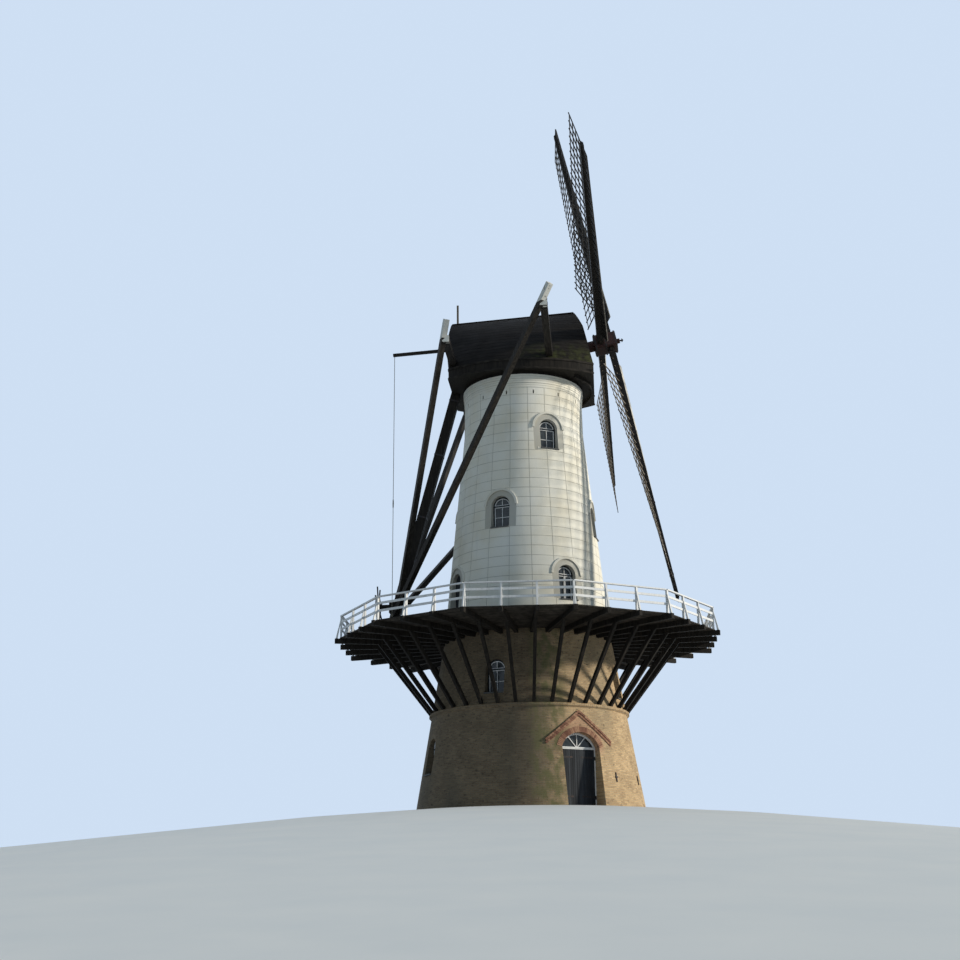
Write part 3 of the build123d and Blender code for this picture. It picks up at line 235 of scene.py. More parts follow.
def heading(azimuth):
    """Unit vector out from the tower's axis, azimuth counted from -Y towards +X."""
    turn = math.radians(azimuth)
    return Vector((math.sin(turn), -math.cos(turn), 0))


def slope_radius(level, foot, top, foot_radius, top_radius):
    return foot_radius + (top_radius - foot_radius) * (level - foot) / (top - foot)


def wall_radius(level):
    """Radius of the tower's outer face at a height."""
    if level < STAGE_LEVEL:
        return slope_radius(level, 0, STAGE_LEVEL, FOOT_RADIUS, BRICK_TOP_RADIUS)
    if level < NECK_LEVEL:
        return slope_radius(level, STAGE_LEVEL, NECK_LEVEL, PLASTER_FOOT_RADIUS, NECK_RADIUS)
    return slope_radius(level, NECK_LEVEL, TOWER_TOP, NECK_RADIUS, PLASTER_TOP_RADIUS)


DOOR_OUT = heading(DOOR_AZIMUTH)
DOOR_ALONG = UP.cross(DOOR_OUT)
print("radius at the stage", wall_radius(STAGE_LEVEL))

# %% [markdown]
# ## Small tools for finishes
# Every finish starts from the same few moves: a noise read at the piece's own coordinates, a
# ramp that turns it into colours, a mix of two colours and a bump. Some also need to know
# how far a point lies along a direction, or which way its surface faces. With these as
# helpers a finish reads as a short recipe.

# %% Helpers for finishes


def grey(value):
    return (value, value, value)


def opaque(value):
    """A plain colour with its fourth number, or an output as it is."""
    return (*value, 1) if isinstance(value, tuple) else value


class Finish:
    """A material with its shader, and helpers that add nodes to it."""

    def __init__(self, name, roughness, metallic=0.0, sheen=0.3):
        self.material = bpy.data.materials.new(name)
        self.material.use_nodes = True
        self.tree = self.material.node_tree
        self.shader = self.tree.nodes["Principled BSDF"]
        self.feed(self.shader, {"Roughness": roughness, "Metallic": metallic, "Specular IOR Level": sheen})
        coordinates = self.node("ShaderNodeTexCoord", {})
        self.place = coordinates.outputs["Object"]
        self.normal = coordinates.outputs["Normal"]

    def feed(self, node, inputs):
        """Sets a node's inputs by name or number: an output is linked, anything else is a value."""
        for name, value in inputs.items():
            if isinstance(value, bpy.types.NodeSocket):
                self.tree.links.new(value, node.inputs[name])
            else:
                node.inputs[name].default_value = value

    def node(self, kind, inputs, **settings):
        made = self.tree.nodes.new(kind)
        for name, value in settings.items():
            setattr(made, name, value)
        self.feed(made, inputs)
        return made

    def maths(self, operation, *values):
        return self.node("ShaderNodeMath", dict(enumerate(values)), operation=operation).outputs["Value"]

    def vectors(self, operation, *values):
        return self.node("ShaderNodeVectorMath", dict(enumerate(values)), operation=operation).outputs

    def along(self, direction, source=None):
        """How far the point, or another vector, reaches along a direction."""
        return self.vectors("DOT_PRODUCT", source or self.place, tuple(direction))["Value"]

    def round_unit(self):
        """Level unit vector from the tower's axis to the point."""
        flat = self.vectors("MULTIPLY", self.place, (1, 1, 0))["Vector"]
        return self.vectors("NORMALIZE", flat)["Vector"]

    def rise(self, value, low, high):
        """0 below the first value and 1 above the second, or the other way round."""
        inputs = {"Value": value, "From Min": low, "From Max": high}
        return self.node("ShaderNodeMapRange", inputs, clamp=True).outputs["Result"]

    def both(self, *factors):
        total = factors[0]
        for factor in factors[1:]:
            total = self.maths("MULTIPLY", total, factor)
        return total

    def noise(self, scale, detail, stretch=(1, 1, 1)):
        spread = self.node("ShaderNodeMapping", {"Vector": self.place, "Scale": stretch})
        inputs = {"Vector": spread.outputs["Vector"], "Scale": scale, "Detail": detail}
        return self.node("ShaderNodeTexNoise", inputs).outputs["Fac"]

    def ramp(self, factor, *stops):
        """Colours at places from 0 to 1."""
        made = self.node("ShaderNodeValToRGB", {"Fac": factor})
        band = made.color_ramp
        while len(band.elements) < len(stops):
            band.elements.new(1.0)
        for element, (place, colour) in zip(band.elements, stops):
            element.position = place
            element.color = opaque(colour)
        return made.outputs["Color"]

    def mix(self, factor, first, second, blend="MIX"):
        made = self.node("ShaderNodeMix", {"Factor": factor}, data_type="RGBA", blend_type=blend)
        colours = [number for number, socket in enumerate(made.inputs) if socket.type == "RGBA"]
        self.feed(made, dict(zip(colours, (opaque(first), opaque(second)))))
        return [socket for socket in made.outputs if socket.type == "RGBA"][0]

    def shade(self, amount, colour, factor, *stops):
        """The colour times a ramp of greys, given as places and values."""
        greys = self.ramp(factor, *((place, grey(value)) for place, value in stops))
        return self.mix(amount, colour, greys, "MULTIPLY")

    def colour(self, value):
        self.feed(self.shader, {"Base Color": opaque(value)})

    def roughness(self, factor, low, high):
        made = self.node("ShaderNodeMapRange", {"Value": factor, "To Min": low, "To Max": high})
        self.feed(self.shader, {"Roughness": made.outputs["Result"]})

    def bump(self, height, distance, strength):
        made = self.node("ShaderNodeBump", {"Distance": distance, "Strength": strength, "Height": height})
        under = self.shader.inputs["Normal"]
        if under.is_linked:
            self.feed(made, {"Normal": under.links[0].from_socket})
        self.feed(self.shader, {"Normal": made.outputs["Normal"]})

    def tone(self):
        """The random tone that each board or brick of a joined piece carries."""
        return self.node("ShaderNodeAttribute", {}, attribute_name="tone").outputs["Fac"]


# %% [markdown]
# ## Brick
# A real wall has a new colour for each brick. Blender's brick pattern works on a flat sheet,
# so the sheet is wrapped round the tower: across is the angle about the axis times one
# radius, up is the height. The radius is chosen so that a whole number of bricks closes the
# ring. Soot comes from slower noises laid over the bricks. Green growth holds on a band
# beside the main door, and between the door's arch and its gable the bricks are redder.
# On the side away from the sun the bricks are darker and bluer: that is painted shade.

# %% Brick finish
BRICK_LENGTH, BRICK_HEIGHT, MORTAR = 0.225, 0.072, 0.011
BRICKS_ROUND = 122
RED_FIELD_APEX, RED_FIELD_SLOPE = 3.80, 0.80
RED_FIELD_FOOT, RED_FIELD_HALF = 2.05, 1.22
RED_TOP_BLEND, RED_FOOT_BLEND, RED_SIDE_BLEND = 0.02, 0.3, 0.2
FRONT_BLEND = 0.1
MOSS_AZIMUTH = DOOR_AZIMUTH - 17
MOSS_REACH = math.cos(math.radians(13))
MOSS_CORE = math.cos(math.radians(4))
# Painted shade: where the tower lies in shadow, away from the sun, the brick is made darker and bluer.
SHADE_SIDE_AZIMUTH = -140
SHADE_SIDE_REACH = math.cos(math.radians(76))
SHADE_SIDE_CORE = math.cos(math.radians(54))


def wrapped_bricks(finish, light, dark, mortar):
    """The brick pattern wrapped round the tower's axis: its colour and its mortar."""
    parts = finish.node("ShaderNodeSeparateXYZ", {"Vector": finish.place}).outputs
    angle = finish.maths("ARCTAN2", parts["X"], parts["Y"])
    across = finish.maths("MULTIPLY", angle, BRICKS_ROUND * BRICK_LENGTH / (2 * math.pi))
    sheet = finish.node("ShaderNodeCombineXYZ", {"X": across, "Y": parts["Z"]})
    bricks = finish.node("ShaderNodeTexBrick", {
        "Vector": sheet.outputs["Vector"], "Color1": opaque(light), "Color2": opaque(dark),
        "Mortar": opaque(mortar), "Scale": 1.0, "Mortar Size": MORTAR, "Mortar Smooth": 0.3, "Bias": -0.1,
        "Brick Width": BRICK_LENGTH, "Row Height": BRICK_HEIGHT}, offset=0.5)
    return bricks.outputs["Color"], bricks.outputs["Fac"]


def door_field(finish):
    """The field between the door's arch and its gable, as a factor."""
    aside = finish.maths("ABSOLUTE", finish.along(DOOR_ALONG))
    level = finish.along(UP)
    roof = finish.maths("ADD", level, finish.maths("MULTIPLY", aside, RED_FIELD_SLOPE))
    front = finish.rise(finish.along(DOOR_OUT), 0.0, FRONT_BLEND)
    return finish.both(front, finish.rise(roof, RED_FIELD_APEX, RED_FIELD_APEX - RED_TOP_BLEND),
                       finish.rise(level, RED_FIELD_FOOT, RED_FIELD_FOOT + RED_FOOT_BLEND),
                       finish.rise(aside, RED_FIELD_HALF, RED_FIELD_HALF - RED_SIDE_BLEND))


def moss_band(finish):
    """An upright band of growth beside the door, ragged at its edges."""
    near = finish.rise(finish.along(heading(MOSS_AZIMUTH), finish.round_unit()), MOSS_REACH, MOSS_CORE)
    patches = finish.rise(finish.noise(3.2, 8, (1, 1, 0.6)), 0.40, 0.60)
    return finish.both(near, patches)


def brick_finish():
    finish = Finish("yellow_brick", 0.9)
    colour, joints = wrapped_bricks(finish, (0.66, 0.46, 0.25), (0.43, 0.28, 0.15), (0.50, 0.40, 0.27))
    red = finish.mix(0.6, colour, (0.46, 0.26, 0.17))
    colour = finish.mix(door_field(finish), colour, red)
    worn = finish.noise(1.3, 6)
    grain = finish.noise(38, 3)
    pits = finish.noise(7.5, 2, (1, 1, 1.6))
    blotches = finish.noise(0.55, 4, (1, 1, 0.4))
    colour = finish.shade(0.55, colour, worn, (0.3, 0.5), (0.7, 1.0))
    colour = finish.shade(0.35, colour, grain, (0.35, 0.5), (0.65, 1.15))
    colour = finish.shade(0.8, colour, pits, (0.28, 0.35), (0.40, 1.0))
    soot = finish.ramp(blotches, (0.50, grey(0.0)), (0.75, grey(0.55)))
    colour = finish.mix(soot, colour, (0.22, 0.19, 0.13))
    # Painted shade: the brick is multiplied by a blue-grey on the side turned away from the sun.
    painted_shade = finish.rise(finish.along(heading(SHADE_SIDE_AZIMUTH), finish.round_unit()), SHADE_SIDE_REACH, SHADE_SIDE_CORE)
    colour = finish.mix(painted_shade, colour, (0.38, 0.40, 0.44), "MULTIPLY")
    finish.colour(finish.mix(finish.maths("MULTIPLY", moss_band(finish), 0.8), colour, (0.13, 0.13, 0.055)))
    finish.bump(joints, -0.008, 0.9)
    finish.bump(grain, 0.004, 0.6)
    return finish.material


def single_brick_finish():
    """Bricks that are modelled one by one, each with its own tone."""
    finish = Finish("red_brick", 0.88)
    own = finish.ramp(finish.tone(), (0.0, (0.17, 0.075, 0.05)), (0.5, (0.28, 0.14, 0.09)),
                      (1.0, (0.40, 0.23, 0.145)))
    grain = finish.noise(45, 3)
    finish.colour(finish.shade(0.5, own, grain, (0.3, 0.5), (0.7, 1.1)))
    finish.bump(grain, 0.003, 0.6)
    return finish.material


YELLOW_BRICK = brick_finish()
RED_BRICK = single_brick_finish()
print("bricks round the tower:", BRICKS_ROUND)

# %% [markdown]
# ## Plaster
# The upper tower is plastered and lined out as large blocks, painted cream white. Rain leaves
# long faint streaks, so one noise is stretched upright; another makes patches where the paint
# has yellowed or been patched.

# %% Plaster finish
PLASTER_WHITE = (0.80, 0.77, 0.68)
PLASTER_WARM = (0.75, 0.70, 0.58)
PLASTER_GREY = (0.58, 0.58, 0.54)


def plaster_finish(name, darkness):
    finish = Finish(name, 0.82)
    patches = finish.noise(0.8, 5)
    streaks = finish.noise(2.6, 6, (1, 1, 0.09))
    grain = finish.noise(26, 5)
    base = finish.ramp(patches, (0.32, PLASTER_WARM), (0.55, PLASTER_WHITE), (0.8, (0.82, 0.80, 0.74)))
    run = finish.ramp(streaks, (0.56, grey(0.0)), (0.80, grey(0.40)))
    stained = finish.mix(run, base, PLASTER_GREY)
    aged = finish.shade(0.2, stained, grain, (0.35, 0.8), (0.65, 1.0))
    finish.colour(finish.mix(1.0, aged, grey(1 - darkness), "MULTIPLY"))
    finish.bump(grain, 0.003, 0.4)
    finish.bump(patches, 0.02, 0.3)
    return finish.material


PLASTER = plaster_finish("plaster", 0.0)
PLASTER_JOINT = plaster_finish("plaster_joint", 0.38)
HOOD_PLASTER = plaster_finish("hood_plaster", 0.12)
print("plaster colour", PLASTER_WHITE)

# %% [markdown]
# ## Timber, paint, iron, glass and rope
# Tarred timber is nearly black with a dull sheen and brown where the tar has worn. White paint
# is broken by grey wood along its wear. All timber gets a grain from a noise drawn out along
# one direction, and boards that are modelled one by one vary with their own tone. The spruits
# and their braces are tarred, with white paint on their ends. The sails' timber is paler on the
# faces turned forward and tarred behind, so that finish reads which way it faces.

# %% Timber and metal finishes
SHAFT_TILT = math.radians(10.4)
SHAFT_OUT = Vector((0, -math.cos(SHAFT_TILT), math.sin(SHAFT_TILT)))
LONG_SPRUIT_PAINT, SHORT_SPRUIT_PAINT, BRACE_PAINT = 8.30, 4.92, 20.30
PAINT_EDGE = 0.02
CAP_MOSS_LEVELS, CAP_MOSS_BACKS = (21.1, 20.3), (0.4, -1.2)


def wood_colour(finish, dark, light, grain_along, by_board=False):
    """Streaked, worn wood, and its grain and wear for the bump and the sheen."""
    grain = finish.noise(14, 8, grain_along)
    wear = finish.noise(1.7, 6)
    colour = finish.ramp(grain, (0.30, dark), (0.72, light))
    colour = finish.shade(0.6, colour, wear, (0.3, 0.55), (0.7, 1.15))
    if by_board:
        colour = finish.shade(0.8, colour, finish.tone(), (0.0, 0.55), (1.0, 1.35))
    return colour, grain, wear


def timber_finish(name, dark, light, roughness, grain_along=(1, 1, 0.12), by_board=False):
    finish = Finish(name, roughness, sheen=0.12)
    colour, grain, wear = wood_colour(finish, dark, light, grain_along, by_board)
    finish.colour(colour)
    finish.roughness(wear, roughness - 0.06, roughness + 0.1)
    finish.bump(grain, 0.004, 0.55)
    return finish.material


def painted_end_finish(name, direction, paint_from, paint, light, grain_along):
    """Tarred timber, painted white where it reaches far enough along a direction."""
    finish = Finish(name, 0.66, sheen=0.12)
    colour, grain, wear = wood_colour(finish, (0.008, 0.007, 0.006), light, grain_along)
    reach = finish.maths("ABSOLUTE", finish.along(direction))
    painted = finish.rise(reach, paint_from, paint_from + PAINT_EDGE)
    flaked = finish.both(painted, finish.rise(finish.noise(5, 8), 0.70, 0.60))
    finish.colour(finish.mix(flaked, colour, paint))
    finish.roughness(wear, 0.55, 0.75)
    finish.bump(grain, 0.004, 0.5)
    return finish.material


def spruit_finish(name, paint_from):
    return painted_end_finish(name, (1, 0, 0), paint_from, (0.72, 0.71, 0.66), (0.036, 0.030, 0.025),
                              (0.12, 1, 1))


def sail_finish(name, dark, light, front_colour):
    """Sail timber, tarred behind and paler on the faces turned forward, to the wind."""
    finish = Finish(name, 0.7, sheen=0.12)
    colour, grain, wear = wood_colour(finish, dark, light, (0.5, 1, 0.5))
    forward_pale = finish.shade(0.6, front_colour, grain, (0.3, 0.55), (0.7, 1.05))
    front = finish.rise(finish.along(SHAFT_OUT, finish.normal), 0.2, 0.5)
    worn = finish.both(front, finish.rise(wear, 0.25, 0.55))
    finish.colour(finish.mix(worn, colour, forward_pale))
    finish.roughness(wear, 0.6, 0.8)
    finish.bump(grain, 0.004, 0.55)
    return finish.material


def white_paint_finish(name, low, high):
    finish = Finish(name, 0.55)
    grain = finish.noise(16, 8, (1, 1, 0.25))
    wear = finish.noise(3.1, 8)
    paint = finish.ramp(grain, (0.3, grey(low)), (0.7, grey(high)))
    bare = finish.ramp(wear, (0.60, grey(0.0)), (0.74, grey(0.5)))
    finish.colour(finish.mix(bare, paint, (0.40, 0.39, 0.36)))
    finish.bump(grain, 0.002, 0.5)
    return finish.material


def iron_finish(name, dark, rusty):
    finish = Finish(name, 0.5, 0.5)
    rust = finish.noise(9, 8)
    finish.colour(finish.ramp(rust, (0.45, dark), (0.75, rusty)))
    finish.roughness(rust, 0.42, 0.8)
    finish.bump(rust, 0.002, 0.4)
    return finish.material


# The glass is opaque, and its near-black colour is painted shade that stands for the dark room behind it.
# The dust on it is real.
def glass_finish():
    finish = Finish("window_glass", 0.06, sheen=0.32)
    dust = finish.noise(5, 5)
    finish.colour(finish.ramp(dust, (0.35, (0.018, 0.022, 0.025)), (0.75, (0.06, 0.068, 0.072))))
    finish.roughness(dust, 0.04, 0.22)
    finish.bump(finish.noise(1.2, 2), 0.004, 0.25)
    return finish.material


def grain_finish(name, scale, dark, light, roughness, bump):
    """A plain grained finish, as of stone or rope."""
    finish = Finish(name, roughness)
    grain = finish.noise(scale, 6)
    finish.colour(finish.ramp(grain, (0.3, dark), (0.7, light)))
    finish.bump(grain, 0.003, bump)
    return finish.material


def cap_finish():
    """Tarred boards, with moss low down beside the sails."""
    finish = Finish("tarred_cap", 0.75, sheen=0.08)
    grain = finish.noise(9, 8, (1, 0.15, 1))
    wear = finish.noise(1.4, 6)
    tar = finish.ramp(grain, (0.3, (0.007, 0.006, 0.006)), (0.75, (0.022, 0.019, 0.017)))
    tar = finish.shade(0.8, tar, finish.tone(), (0.0, 0.6), (1.0, 1.35))
    low = finish.rise(finish.along(UP), *CAP_MOSS_LEVELS)
    forward = finish.rise(finish.along((0, 1, 0)), *CAP_MOSS_BACKS)
    moss = finish.both(low, forward, finish.rise(finish.noise(2.6, 8), 0.38, 0.60))
    finish.colour(finish.mix(moss, tar, (0.044, 0.047, 0.020)))
    finish.roughness(wear, 0.66, 0.92)
    finish.bump(grain, 0.005, 0.5)
    finish.bump(moss, 0.02, 0.6)
    return finish.material


WHITE_PAINT = white_paint_finish("white_paint", 0.70, 0.80)
RAIL_PAINT = white_paint_finish("rail_paint", 0.64, 0.74)
GREY_PAINT = white_paint_finish("grey_paint", 0.40, 0.48)
TARRED_TIMBER = timber_finish("tarred_timber", (0.007, 0.006, 0.005), (0.030, 0.025, 0.020), 0.7)
STAGE_BOARDS = timber_finish("stage_boards", (0.014, 0.012, 0.010), (0.070, 0.060, 0.050), 0.78,
                             (0.3, 0.3, 1), True)
STOCK_TIMBER = sail_finish("stock_timber", (0.012, 0.011, 0.010), (0.038, 0.033, 0.029), (0.46, 0.43, 0.38))
LATTICE_TIMBER = sail_finish("lattice_timber", (0.016, 0.014, 0.012), (0.055, 0.046, 0.038),
                             (0.36, 0.31, 0.25))
BOARD_TIMBER = sail_finish("board_timber", (0.012, 0.011, 0.010), (0.050, 0.044, 0.038), (0.62, 0.59, 0.53))
BARE_TIMBER = timber_finish("bare_timber", (0.13, 0.10, 0.07), (0.30, 0.245, 0.18), 0.75)
DOOR_PAINT = timber_finish("door_paint", (0.012, 0.014, 0.018), (0.045, 0.050, 0.058), 0.48,
                           (1, 1, 0.06), True)
TARRED_CAP = cap_finish()
LONG_SPRUIT = spruit_finish("long_spruit_timber", LONG_SPRUIT_PAINT)
SHORT_SPRUIT = spruit_finish("short_spruit_timber", SHORT_SPRUIT_PAINT)
BRACE = painted_end_finish("brace_timber", UP, BRACE_PAINT, (0.60, 0.59, 0.55), (0.040, 0.034, 0.028),
                           (1, 1, 0.12))
IRON = iron_finish("black_iron", (0.024, 0.024, 0.026), (0.075, 0.045, 0.034))
POLL_IRON = iron_finish("poll_iron", (0.035, 0.018, 0.016), (0.085, 0.034, 0.027))
GLASS = glass_finish()
DARK_STONE = grain_finish("dark_stone", 30, (0.05, 0.05, 0.05), (0.13, 0.13, 0.125), 0.75, 0.5)
ROPE = grain_finish("hemp_rope", 60, (0.13, 0.11, 0.08), (0.30, 0.26, 0.20), 0.9, 0.8)

floor_finish = Finish("pale_floor", 0.9)
floor_tint = floor_finish.ramp(floor_finish.noise(0.5, 3), (0.3, (0.72, 0.73, 0.73)),
                               (0.7, (0.76, 0.76, 0.75)))
floor_finish.colour(floor_tint)
for piece, material in ((floor, floor_finish.material), (rope, ROPE), (splice, ROPE)):
    piece.data.materials.append(material)
print("finishes:", len(bpy.data.materials))

# %% [markdown]
# ## Finishes for the pieces from the model
# Pieces whose shape is already right only change their finish. A table from finish to names
# keeps that readable.

# %% Give the model's pieces their finish
TOWER_SIDES = ("door", "left", "rear", "right")
NODE_FINISHES = (
    (YELLOW_BRICK, ["brick_wall_left", "brick_wall_rear", "brick_wall_right", "brick_wall_over_door",
                    "brick_wall_beside_door_left", "brick_wall_beside_door_right", "ground_floor"]),
    (PLASTER_JOINT, [f"plaster_wall_{side}" for side in TOWER_SIDES]),
    (HOOD_PLASTER, ["window_hoods"]),
    (RED_BRICK, ["door_gable"]),
    (BARE_TIMBER, ["upper_floors", "cap_finial"]),
    (RAIL_PAINT, ["stage_railing"]),
    (WHITE_PAINT, ["door_frame"]),
    (LONG_SPRUIT, ["long_spruit"]),
    (SHORT_SPRUIT, ["short_spruit"]),
    (BRACE, ["long_braces", "short_braces"]),
    (TARRED_TIMBER, ["stage_beams", "stage_struts", "tail_beam", "winch_bracket", "winding_wheel",
                     "brake_lever", "lever_bracket", "cap_curb", "cap_frame", "shaft_bearings",
                     "cap_skirt", "cap_apron"]),
    (STAGE_BOARDS, ["stage_deck"]),
    (TARRED_CAP, ["cap_roof_left", "cap_roof_right", "cap_front_wall", "cap_rear_wall"]),
    (DOOR_PAINT, ["door_leaf_left", "door_leaf_right", "stage_doors", "window_frames"]),
    (POLL_IRON, ["windshaft"]),
    (IRON, ["door_hooks"]),
    (STOCK_TIMBER, ["outer_stock", "inner_stock"]),
    (LATTICE_TIMBER, [f"sail_lattice_{number}" for number in range(1, 5)]),
    (BOARD_TIMBER, ["wind_boards"]),
    (GLASS, ["window_glass"]),
    (DARK_STONE, ["window_sills"]),
    (ROPE, ["brake_rope", "rope_knot"]),
)

for material, names in NODE_FINISHES:
    for name in names:
        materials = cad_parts[name].data.materials
        materials.clear()
        materials.append(material)
print("nodes finished:", sum(len(names) for _, names in NODE_FINISHES))

# %% [markdown]
# ## Small tools for shapes
# A piece is a mesh made with bmesh, linked once and told which body carries it. Blocks,
# beams and bars are one cube each, stretched by a matrix. Every block gets a random tone, so
# that boards and bricks that share a mesh still differ. The random numbers come from one
# seeded source, so each run gives the same mill.

# %% Helpers for shapes
SEED = 7
MERGE_DISTANCE, CUT_DISTANCE = 1e-5, 1e-6
PIN_SIDES = 8
LEAN_SPAN = 0.1

rng = random.Random(SEED)


def new_shape():
    bm = bmesh.new()
    bm.faces.layers.float.new("tone")
    return bm


def add_piece(name, bm, material, body):
    piece = mesh_object(name, bm)
    piece.data.materials.append(material)
    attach(piece, body)
    print(name, len(piece.data.polygons), "faces")
    return piece


def axes_at(origin, x_axis, y_axis, z_axis):
    place = Matrix((x_axis, y_axis, z_axis)).transposed().to_4x4()
    return Matrix.Translation(origin) @ place


def give_tone(bm, faces):
    own = rng.random()
    layer = bm.faces.layers.float["tone"]
    for face in faces:
        face[layer] = own


def faces_of(made):
    return {face for vert in made["verts"] for face in vert.link_faces}


def add_block(bm, place, size, middle=(0, 0, 0)):
    """A block of the given size about a middle, in the axes of a place."""
    shift = place @ Matrix.Translation(middle) @ Matrix.Diagonal((*size, 1))
    give_tone(bm, faces_of(bmesh.ops.create_cube(bm, size=1, matrix=shift)))


def add_pin(bm, place, radius, length, middle):
    """A round pin about a middle, along the z axis of a place."""
    shift = place @ Matrix.Translation(middle)
    made = bmesh.ops.create_cone(bm, cap_ends=True, segments=PIN_SIDES, radius1=radius, radius2=radius,
                                 depth=length, matrix=shift)
    give_tone(bm, faces_of(made))


def add_band(bm, place, width, depth):
    """An iron band round a squared timber whose length runs along the z axis of a place."""
    across = (width + 2 * BAND_THICKNESS, BAND_THICKNESS, BAND_HEIGHT)
    beside = (BAND_THICKNESS, depth, BAND_HEIGHT)
    for side in (-1, 1):
        add_block(bm, place, across, (0, side * (depth + BAND_THICKNESS) / 2, 0))
        add_block(bm, place, beside, (side * (width + BAND_THICKNESS) / 2, 0, 0))


def wall_axes(azimuth, distance, level):
    """Axes on an upright plane across a heading: x along the wall, y up, z out."""
    out = heading(azimuth)
    return axes_at(out * distance + UP * level, UP.cross(out), UP, out)


def on_wall(azimuth, aside, level, out=0.0):
    """Axes lying on the leaning round wall, at a distance to one side of a heading."""
    radius = wall_radius(level)
    turn = math.degrees(math.asin(aside / radius))
    lean = math.atan2(wall_radius(level - LEAN_SPAN) - wall_radius(level + LEAN_SPAN), 2 * LEAN_SPAN)
    return wall_axes(azimuth + turn, radius + out, level) @ Matrix.Rotation(-lean, 4, "X")


def add_arc(bm, place, middle, radius, width, depth, start, end):
    """A bar of square section bent round a middle, from one angle to another."""
    before = set(bm.faces)
    inner, outer = radius - width / 2, radius + width / 2
    turn = Matrix.Rotation(start, 4, "Z")
    section = ((inner, 0, 0), (outer, 0, 0), (outer, 0, depth), (inner, 0, depth))
    shift = place @ Matrix.Translation(middle)
    corners = [bm.verts.new(shift @ (turn @ Vector(corner))) for corner in section]
    cap = bm.faces.new(corners)
    axis = shift.to_3x3() @ Vector((0, 0, 1))
    bmesh.ops.spin(bm, geom=[cap, *cap.edges, *corners], cent=shift @ Vector((0, 0, 0)), axis=axis,
                   angle=end - start, steps=ARCH_STEPS, use_duplicate=False)
    made = [face for face in bm.faces if face not in before]
    bmesh.ops.recalc_face_normals(bm, faces=made)
    give_tone(bm, made)


# %% [markdown]
# ## Windows
# Each window is a black frame set back in the wall, with a thin white sash in it: two rows of
# two panes below a black transom, and an arched head with one upright above it. The stage
# windows have a thick grey post in the middle. The bars are short blocks and bent bars, so
# the whole mill's sashes are one mesh, and the transoms and posts one each.

# %% Window sashes, transoms and posts
WINDOW_WIDTH = 0.86
WINDOW_REVEAL = 0.3
FRAME_WIDTH = 0.07
GLASS_BACK = 0.037
SASH_WIDTH, SASH_DEPTH = 0.032, 0.045
BAR_WIDTH, BAR_DEPTH = 0.024, 0.032
POST_WIDTH = 0.085
TRANSOM_WIDTH, TRANSOM_DEPTH = 0.06, 0.065
ARCH_STEPS = 16

WINDOW_ROWS = (
    ((85, 175, 265), 1.53, 3.09, False),
    ((42, 132, 222, 312), 4.68, 6.16, False),
    ((2.7, 182.7), 8.76, 10.36, True),
    ((49, 229, 132, 312), 12.06, 13.55, False),
    ((-4, 176), 15.78, 17.25, False),
)
WINDOWS = [(turn, *row) for turns, *row in WINDOW_ROWS for turn in turns]
STAGE_DOOR_WIDTH, STAGE_DOOR_HEAD = 0.96, 10.36
STAGE_DOOR_TURNS = (88, 268)


def window_place(turn, sill, head):
    """Axes at the foot of a window's glass, and the height of its arch's spring over them."""
    face = wall_radius((sill + head) / 2) - WINDOW_REVEAL
    place = wall_axes(DOOR_AZIMUTH + turn, face - GLASS_BACK, sill + FRAME_WIDTH)
    return place, head - sill - FRAME_WIDTH - WINDOW_WIDTH / 2


def add_sash(bm, place, spring, with_bar):
    half = WINDOW_WIDTH / 2 - FRAME_WIDTH
    pane_top = spring - TRANSOM_WIDTH / 2
    inset = half - SASH_WIDTH / 2
    middle = SASH_DEPTH / 2
    for side in (-1, 1):
        add_block(bm, place, (SASH_WIDTH, pane_top, SASH_DEPTH), (side * inset, pane_top / 2, middle))
    for level in (SASH_WIDTH / 2, pane_top - SASH_WIDTH / 2, spring + (TRANSOM_WIDTH + SASH_WIDTH) / 2):
        add_block(bm, place, (2 * half, SASH_WIDTH, SASH_DEPTH), (0, level, middle))
    add_block(bm, place, (2 * half, BAR_WIDTH, BAR_DEPTH), (0, pane_top / 2, middle))
    if with_bar:
        add_block(bm, place, (BAR_WIDTH, pane_top, BAR_DEPTH), (0, pane_top / 2, middle))
    add_block(bm, place, (BAR_WIDTH, inset, BAR_DEPTH), (0, spring + inset / 2, middle))
    add_arc(bm, place, (0, spring, 0), inset, SASH_WIDTH, SASH_DEPTH, 0, math.pi)


sashes, transoms, posts = new_shape(), new_shape(), new_shape()
for turn, sill, head, has_post in WINDOWS:
    place, spring = window_place(turn, sill, head)
    add_sash(sashes, place, spring, not has_post)
    transom = (WINDOW_WIDTH - 2 * FRAME_WIDTH, TRANSOM_WIDTH, TRANSOM_DEPTH)
    add_block(transoms, place, transom, (0, spring, TRANSOM_DEPTH / 2))
    if has_post:
        post = spring - TRANSOM_WIDTH / 2
        add_block(posts, place, (POST_WIDTH, post, TRANSOM_DEPTH), (0, post / 2, TRANSOM_DEPTH / 2))
add_piece("window_sashes", sashes, WHITE_PAINT, "tower")
add_piece("window_transoms", transoms, DOOR_PAINT, "tower")
add_piece("window_posts", posts, GREY_PAINT, "tower")

# %% [markdown]
# ## The main door
# The two leaves are upright boards of about a hand's width, so each leaf of the model is
# replaced by its boards, with small chamfers between them. The straps and eyes are a copy of
# the model's leaf with everything behind the boards' face cut away. Both leaves swing, so
# each set of boards and irons rides on its own leaf's body.

# %% Door leaves
DOOR_FACE = 4.15
IRON_FACE = DOOR_FACE + 0.0003
LEAF_THICKNESS = 0.055
LEAF_FOOT, LEAF_HEAD = 0.066, 2.354
LEAF_INNER, LEAF_OUTER = 0.003, 0.819
LEAF_BOARDS = 8
BOARD_JOINT, BOARD_CHAMFER = 0.002, 0.005
UPRIGHT_LEAST = 1


